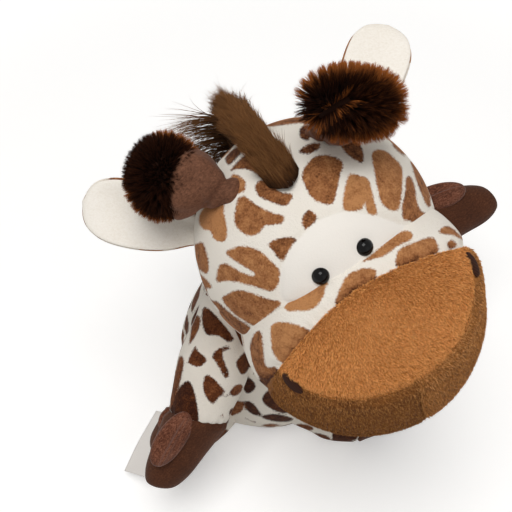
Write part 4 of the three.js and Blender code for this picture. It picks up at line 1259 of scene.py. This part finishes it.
for name, place in horn_places.items():
    look = TUFT[name]
    radii, pile = np.array(look["radii"]), look["pile"]
    tip_light_from, least_tip_light = look["rust"]
    middle = np.array([look["ahead"], 0, 0]) + TUFT_MOVED[name] @ place[1]
    face = unit((eye_point - to_world(middle, place)) @ place[1])
    slit = (math.cos(SLIT_TURN) * photo_right + math.sin(SLIT_TURN) * photo_up) @ place[1]
    slit = unit(along_skin(slit, face))
    core_radii = radii - pile
    direction = unit(rng.normal(size=(TUFT_STRANDS, 3)))
    roots = middle + direction * core_radii
    outward = unit(direction / core_radii)
    # Painted light and shade: how light a strand's tip is follows how far it leans from the camera, not the
    # lamps.
    leaning = np.degrees(np.arccos(np.clip(outward @ face, -1, 1)))
    rust = ease(leaning, tip_light_from, tip_light_from + TIP_LIGHT_OVER)
    if name == "right":
        rust = rust * ease(np.abs(outward @ (TIP_LIGHT_WAY @ place[1])), 0.45, 0.85)
    rust = least_tip_light + (1 - least_tip_light) * rust
    lengths = pile * rng.uniform(0.9, 1.06, TUFT_STRANDS)
    hold, parted = np.full(TUFT_STRANDS, TUFT_HOLD), np.zeros(outward.shape)
    if name == "left":
        lengths = lengths * (1 - 0.6 * ease(-direction[:, 0], 0, 0.7))
        tip, over_slit = direction * radii, np.cross(face, slit)
        aside = tip @ over_slit - SLIT_RISE
        off = np.abs(aside)
        at_slit = (direction @ face > 0) & (np.abs(tip @ slit + SLIT_SHIFT) < SLIT_LENGTH / 2)
        lengths = np.where(at_slit & (off < SLIT_GAP), lengths * 0.2, lengths)
        beside = (at_slit & (off >= SLIT_GAP)) * np.exp(-off / 4) * np.sign(aside)
        parted = 0.6 * beside[:, None] * over_slit
        # The parting is painted darker as shade, and its lips get a painted highlight.
        rust = np.where(at_slit & (off < SLIT_REACH), rust * 0.5, rust)
        rust = np.where(at_slit & (off > SLIT_GAP) & (off < SLIT_LIP), 0.8, rust)
        hold = np.where(at_slit & (off < SLIT_LIP + 1.5), 0.05, hold)
    finish = unit(outward + 0.1 * rng.normal(size=outward.shape) + parted)
    points, faces, along, strand = grow(
        roots, outward, finish, lengths, TUFT_WIDTH, TUFT_STEPS, look["clumps"], hold, TUFT_WAVER
    )
    core = middle + core_points * (core_radii + 0.3 * pile), core_faces
    strands = points, faces, along * each_point(rust, TUFT_STEPS), strand
    points, faces, fields = with_core(core, strands)
    world, horn, node = to_world(points, place), f"horn_{name}", f"horn_tuft_{name}"
    make_piece(f"fur_tuft_{name}", world, faces, tuft_fibre, horn, [node], fields)

# %% [markdown]
# ## The mane
#
# The mane is a strip of long pile, sewn into the seam over the crown, and another down the
# neck and back. The strands stand up from the seam, lie back along the strip and end in loose
# wisps. Roots are scattered over the strip, and every strand starts along the skin's normal
# and turns to the lie of the fur.

# %% The mane over the crown
MANE_FRONT, MANE_END = math.radians(23.5), math.radians(-84)
MANE_STRANDS, MANE_STEPS, MANE_WIDTH = 22000, 7, 0.38
MANE_LENGTHS = [(0, 12), (0.1, 20), (0.4, 26), (0.65, 34), (0.85, 34), (1, 28)]
MANE_HALF = [(0, 10), (0.2, 9.5), (0.5, 9.5), (0.7, 12), (1, 12)]
MANE_ASIDE = [(0, -1), (0.5, 0), (1, 2)]
# How high the fur is packed over the skin, and how much it stands up, along the strip.
MANE_PACKED = [(0, 6), (0.15, 7), (0.4, 10), (0.6, 18), (0.8, 20), (1, 12)]
MANE_RISE = [(0, 0.6), (0.12, 0.3), (0.4, 0.4), (0.65, 1.1), (1, 1.0)]
LOCKS, LOCK_STRANDS, LOCK_LENGTH = 18, 30, 55
# The shares of the fur's height and half width that its core and its roots take up.
CORE_HEIGHT, CORE_HALF = 0.8, 0.9


def level(rows, at):
    """Reads a row of places and values at any place between."""
    return np.interp(at, *np.array(rows).T)


def round_ended(share, start, rate):
    """Narrows a ridge towards both its ends."""
    return math.sin(math.pi / 2 * min(1, start + share * rate, start + (1 - share) * rate))


def crown_ridge(rows=40, sides=20):
    """The core of the mane: a low rounded ridge."""
    turn = np.arange(sides) * 2 * math.pi / sides
    rings = []
    for t in np.linspace(0, 1, rows):
        angle = MANE_FRONT + (MANE_END - MANE_FRONT) * t
        end = round_ended(t, 0.08, 4)
        x = level(MANE_ASIDE, t) + level(MANE_HALF, t) * CORE_HALF * end * np.cos(turn)
        height = HEAD_RADIUS - 2 + CORE_HEIGHT * level(MANE_PACKED, t) * end * np.maximum(np.sin(turn), -0.2)
        rings.append(np.stack([x, -height * math.sin(angle), height * math.cos(angle)], 1))
    return tube(np.array(rings))


def mane_strands(t, spread, lengths, sideways, clumps, hold, waver):
    """Strands rooted on the strip: they rise from the skin and lie back along it."""
    nothing = np.zeros(len(t))
    t = np.maximum(t, 0.07 * np.abs(spread) ** 2)
    angle = MANE_FRONT + (MANE_END - MANE_FRONT) * t
    blunt = np.sqrt(np.clip(0.5 + t / 0.05, 0, 1))
    x = level(MANE_ASIDE, t) + spread * level(MANE_HALF, t) * CORE_HALF * blunt
    packed = CORE_HEIGHT * level(MANE_PACKED, t) * np.sqrt(np.maximum(1 - spread**2, 0))
    ring = np.sqrt((HEAD_RADIUS - 1.5 + packed) ** 2 - x**2)
    roots = np.stack([x, -ring * np.sin(angle), ring * np.cos(angle)], 1)
    backward = np.stack([nothing, np.cos(angle), np.sin(angle)], 1)
    aside = np.stack([sideways - spread * 0.08, nothing, nothing], 1)
    rise = level(MANE_RISE, t)[:, None]
    upright = unit(rise * unit(roots) + 0.6 * backward + aside)
    lying = unit(0.25 * rise * unit(roots) + backward + aside + 0.26 * rng.normal(size=roots.shape))
    points, faces, along, strand = grow(
        roots, upright, lying, lengths, MANE_WIDTH, MANE_STEPS, clumps, hold, waver
    )
    # The strands at the front end of the mane are painted darker: painted shade.
    return points, faces, along * (0.85 + 0.15 * each_point(ease(t, 0, 0.12), MANE_STEPS)), strand


def joined(first, second):
    """Two lots of strands as one."""
    shift = len(first[0])
    faces = first[1] + [[i + shift for i in f] for f in second[1]]
    points, along, strand = [np.concatenate([first[i], second[i]]) for i in (0, 2, 3)]
    return points, faces, along, strand


t = rng.uniform(0, 1, MANE_STRANDS) ** 0.9
spread = rng.uniform(-1, 1, MANE_STRANDS)
lengths = level(MANE_LENGTHS, t) * rng.uniform(0.7, 1.1, MANE_STRANDS)
fur = mane_strands(t, spread, lengths, -0.04, 300, 0.7, 1.4)
lock = np.repeat(np.arange(LOCKS), LOCK_STRANDS)
t = rng.uniform(0.55, 0.95, LOCKS)[lock] + rng.uniform(-0.015, 0.015, len(lock))
spread = rng.uniform(-1, 0.2, LOCKS)[lock] + rng.uniform(-0.12, 0.12, len(lock))
lengths = LOCK_LENGTH * rng.uniform(0.75, 1.1, LOCKS)[lock] * rng.uniform(0.8, 1.05, len(lock))
wisps = mane_strands(t, spread, lengths, -0.3 - rng.uniform(0, 1.1, LOCKS)[lock], LOCKS, 0.35, 3)
points, faces, fields = with_core(crown_ridge(), joined(fur, wisps))
points = to_world(points, head_place)
make_piece("mane_crown", points, faces, mane_fibre, "head", ["mane_head"], fields)

# %% The mane down the neck and back
NECK_MANE_TOP, NECK_MANE_END, NECK_STRANDS = 186, 98, 9000
NECK_MANE_LENGTH, NECK_MANE_HALF, NECK_MANE_SIDES = 19, 7, 16


def back_of(z):
    """How far back the torso or the neck reaches at a height."""
    share = (z - SEAT_TOP) / (TORSO_HEIGHT - SEAT_TOP)
    rows = np.array(TORSO_SHARES[3:9])
    torso = np.interp(share, rows[:, 1], rows[:, 0]) * TORSO_RADIUS * TORSO_DEPTH
    return np.maximum(torso, NECK_BACK + NECK_RADIUS - 1)


def strip_at(t):
    """Where the strip runs: its middle from side to side, and its height."""
    z = NECK_MANE_TOP + (NECK_MANE_END - NECK_MANE_TOP) * t
    return NECK_X + (TORSO_LEAN * z - NECK_X) * t, z


t = rng.uniform(0, 1, NECK_STRANDS)
x, z = strip_at(t)
spread = rng.uniform(-1, 1, NECK_STRANDS)
roots = np.stack([x + spread * NECK_MANE_HALF, back_of(z) - 1.5, z], 1)
ones = np.ones(NECK_STRANDS)
upright = unit(np.stack([0.4 * spread, ones, -0.1 * ones], 1))
lying = unit(np.stack([0.3 * spread, 0.35 * ones, -ones], 1))
lying = unit(lying + 0.3 * rng.normal(size=lying.shape))
thin = np.minimum(1, np.minimum(0.45 + 2.5 * t, 0.4 + 2.5 * (1 - t)))
lengths = NECK_MANE_LENGTH * thin * rng.uniform(0.7, 1.2, NECK_STRANDS)
strands = grow(roots, upright, lying, lengths, MANE_WIDTH, 6, 300, 0.7, 1.4)
turn = np.arange(NECK_MANE_SIDES) * 2 * math.pi / NECK_MANE_SIDES
rings = []
for t in np.linspace(0, 1, 30):
    x, z = strip_at(t)
    end = round_ended(t, 0.1, 5)
    wide = x + NECK_MANE_HALF * 0.8 * end * np.cos(turn)
    deep = back_of(z) - 2 + 3.2 * end * (1 + np.sin(turn))
    rings.append(np.stack([wide, deep, np.full(NECK_MANE_SIDES, z)], 1))
points, faces, fields = with_core(tube(np.array(rings)), strands)
points = to_world(points, torso_place)
make_piece("mane_back", points, faces, mane_fibre, "torso", ["mane_neck"], fields)

# %% [markdown]
# ## The tail
#
# The tail is a thin roll of printed cloth with a brush of the mane's fur at its end. It hangs
# behind the seat, out of the photograph, so its shape is a usual one.

# %% The tail and its brush
TAIL_LENGTH, TAIL_DROP, BRUSH_LENGTH = 62, -24, 34
tail_place = limb_place("tail_swing", 90, TAIL_DROP)
tail_profile = [(-6.8, 0.5), (-5, 4.6), (0, 6.8), (6, 6.0), (20, 5.2), (40, 4.9), (56, 4.7)]
tail_profile += [(TAIL_LENGTH, 4.2), (TAIL_LENGTH + 2, 0.5)]
points, faces = turned(tail_profile, 7, 48)
points = to_world(points, tail_place)
fields = print_fields(*cells(points, 12, 4, 0.6, 61))
make_piece("tail_roll", points, faces, body_minky_painted_shade, "tail", ["tail"], fields)

BRUSH_STRANDS, BRUSH_ROOT, ABOVE_FLOOR = 5000, 3.8, 0.4
turn = rng.uniform(0, 2 * math.pi, BRUSH_STRANDS)
ring = np.sqrt(rng.uniform(0, 1, BRUSH_STRANDS))
ahead = np.array([1, 0, 0])
radial = np.stack([np.zeros(BRUSH_STRANDS), np.cos(turn), np.sin(turn)], 1)
depth = TAIL_LENGTH - 1 + rng.uniform(-5, 5, BRUSH_STRANDS)
roots = depth[:, None] * ahead + radial * BRUSH_ROOT
outward = unit(ahead + 0.75 * radial * ring[:, None])
lying = unit(ahead - 0.1 * radial + 0.12 * rng.normal(size=roots.shape))
lengths = BRUSH_LENGTH * rng.uniform(0.65, 1.0, BRUSH_STRANDS)
strands = grow(roots, outward, lying, lengths, MANE_WIDTH, 6, 120, 0.6, 1.2)
core = core_points * [13, 4.6, 4.6] + (TAIL_LENGTH + 8) * ahead
points, faces, fields = with_core((core, core_faces), strands)
points = to_world(points, tail_place)
points[:, 2] = np.maximum(points[:, 2], ABOVE_FLOOR)
make_piece("tail_brush", points, faces, tail_fibre, "tail", ["tail_tuft"], fields)

# %% [markdown]
# ## The care label
#
# A care label is a strip of woven satin ribbon, sewn into a seam. This one is bare. It is a
# thin strip that curls a little, with the fine ribs of its weave in the material.

# %% The ribbon
LABEL_LENGTH, LABEL_WIDTH, LABEL_THICK, LABEL_INSET, LABEL_DROP, LABEL_CURL = 50, 25, 0.4, 3, 7, 3
LABEL_ALONG, LABEL_FACE = np.array([-0.45, -0.89, 0.03]), np.array([-0.52, 0.29, 0.8])
ankle = limb_place("leg_right_swing", -134, -1)
label_spot = [LEG_SIZE["cuff"] + LABEL_INSET, -LEG_SIZE["wrist"] + 1, -LABEL_DROP]
label_place = oriented(ankle, label_spot, LABEL_ALONG @ ankle[1], LABEL_FACE @ ankle[1])
across = np.linspace(-1, 1, 20)
rings = []
for share in np.linspace(0, 1, 40):
    sag = 0.5 * np.sin(share * 7 + across * 2) * share - LABEL_CURL * share**2
    low = np.stack([np.full(20, LABEL_LENGTH * share), across * LABEL_WIDTH / 2, sag], 1)
    rings.append(np.concatenate([low + [0, 0, LABEL_THICK], low[::-1]]))
points, faces = tube(np.array(rings))
points = to_world(points, label_place)
ribbon = make_piece("ribbon_label", points, faces, label_satin, "leg_right", ["care_label"])

# %% [markdown]
# ## What stays inside
#
# The washers that hold the eyes and the pouch of pellets keep their solids. They only get
# their real materials, in case a view cuts the toy open.

# %% Materials for the hidden solids
inside = {"eye_washer_left": washer_plastic, "eye_washer_right": washer_plastic, "pellet_pouch": pouch_cloth}
for node, material in inside.items():
    frame["nodes"][node].data.materials.clear()
    frame["nodes"][node].data.materials.append(material)

# %% [markdown]
# ## Studio
#
# The toy sits on a pale floor under a large soft lamp overhead, and the even light of the
# room comes from all round. The floor stays nearly white and keeps the toy's soft shadow.

# %% The floor
FLOOR_SIZE, FLOOR_NEAR, FLOOR_FAR, FLOOR_GLOW = 6, 0.35, 1.1, 0.3
WHITE = (1, 1, 1, 1)


def seen_rays(owner):
    """One for the rays by which a thing is seen, and zero for those that only light the toy."""
    path = add(owner, "ShaderNodeLightPath")
    seen = path.outputs["Is Camera Ray"]
    for ray in ("Is Glossy Ray", "Is Transmission Ray"):
        both = add(owner, "ShaderNodeMath", {"operation": "ADD"}, links={0: seen, 1: path.outputs[ray]})
        seen = both.outputs[0]
    return seen


half = FLOOR_SIZE / 2
corners = [(-half, -half, 0), (half, -half, 0), (half, half, 0), (-half, half, 0)]
floor_mesh = bpy.data.meshes.new("floor")
floor_mesh.from_pydata(corners, [], [(0, 1, 2, 3)])
floor = bpy.data.objects.new("floor", floor_mesh)
bpy.context.scene.collection.objects.link(floor)
paper, shader = new_material("matt_paper")
where = add(paper, "ShaderNodeTexCoord").outputs["Object"]
distance = add(paper, "ShaderNodeVectorMath", {"operation": "LENGTH"}, links={0: where})
reach = {"From Min": FLOOR_NEAR, "From Max": FLOOR_FAR, "To Min": FLOOR_GLOW, "To Max": 1}
smooth = {"interpolation_type": "SMOOTHSTEP"}
glow = add(paper, "ShaderNodeMapRange", smooth, reach, {"Value": distance.outputs["Value"]})
feeds = {0: seen_rays(paper), 1: glow.outputs["Result"]}
lift = add(paper, "ShaderNodeMath", {"operation": "MULTIPLY", "use_clamp": True}, links=feeds)
look = {"Base Color": srgb("#f4f3f1"), "Roughness": 1, "Specular IOR Level": 0.1, "Emission Color": WHITE}
connect(paper, shader, look, {"Emission Strength": lift.outputs[0]})
floor_mesh.materials.append(paper)

# %% The light
bpy.context.scene.view_settings.view_transform = "Standard"
ROOM_LIGHT, TOY_MIDDLE = 0.38, (0.02, -0.02, 0.2)
world = bpy.data.worlds.new("room")
bpy.context.scene.world = world
world.use_nodes = True
reach = {"To Min": ROOM_LIGHT, "To Max": 1}
bright = add(world, "ShaderNodeMapRange", None, reach, {"Value": seen_rays(world)})
backdrop = world.node_tree.nodes["Background"]
connect(world, backdrop, {"Color": WHITE}, {"Strength": bright.outputs["Result"]})


def softbox(name, place, size, power):
    """A square lamp, in metres and watts, that is aimed at the middle of the toy."""
    lamp = bpy.data.objects.new(name, bpy.data.lights.new(name, "AREA"))
    lamp.data.size = size
    lamp.data.energy = power
    bpy.context.scene.collection.objects.link(lamp)
    aim = Vector(TOY_MIDDLE) - Vector(place)
    lamp.matrix_world = Matrix.Translation(place) @ aim.to_track_quat("-Z", "Y").to_matrix().to_4x4()


softbox("key", (-0.12, -0.19, 1.57), 0.7, 11.8)
softbox("fill", (0.9, -0.9, 0.9), 0.9, 1)
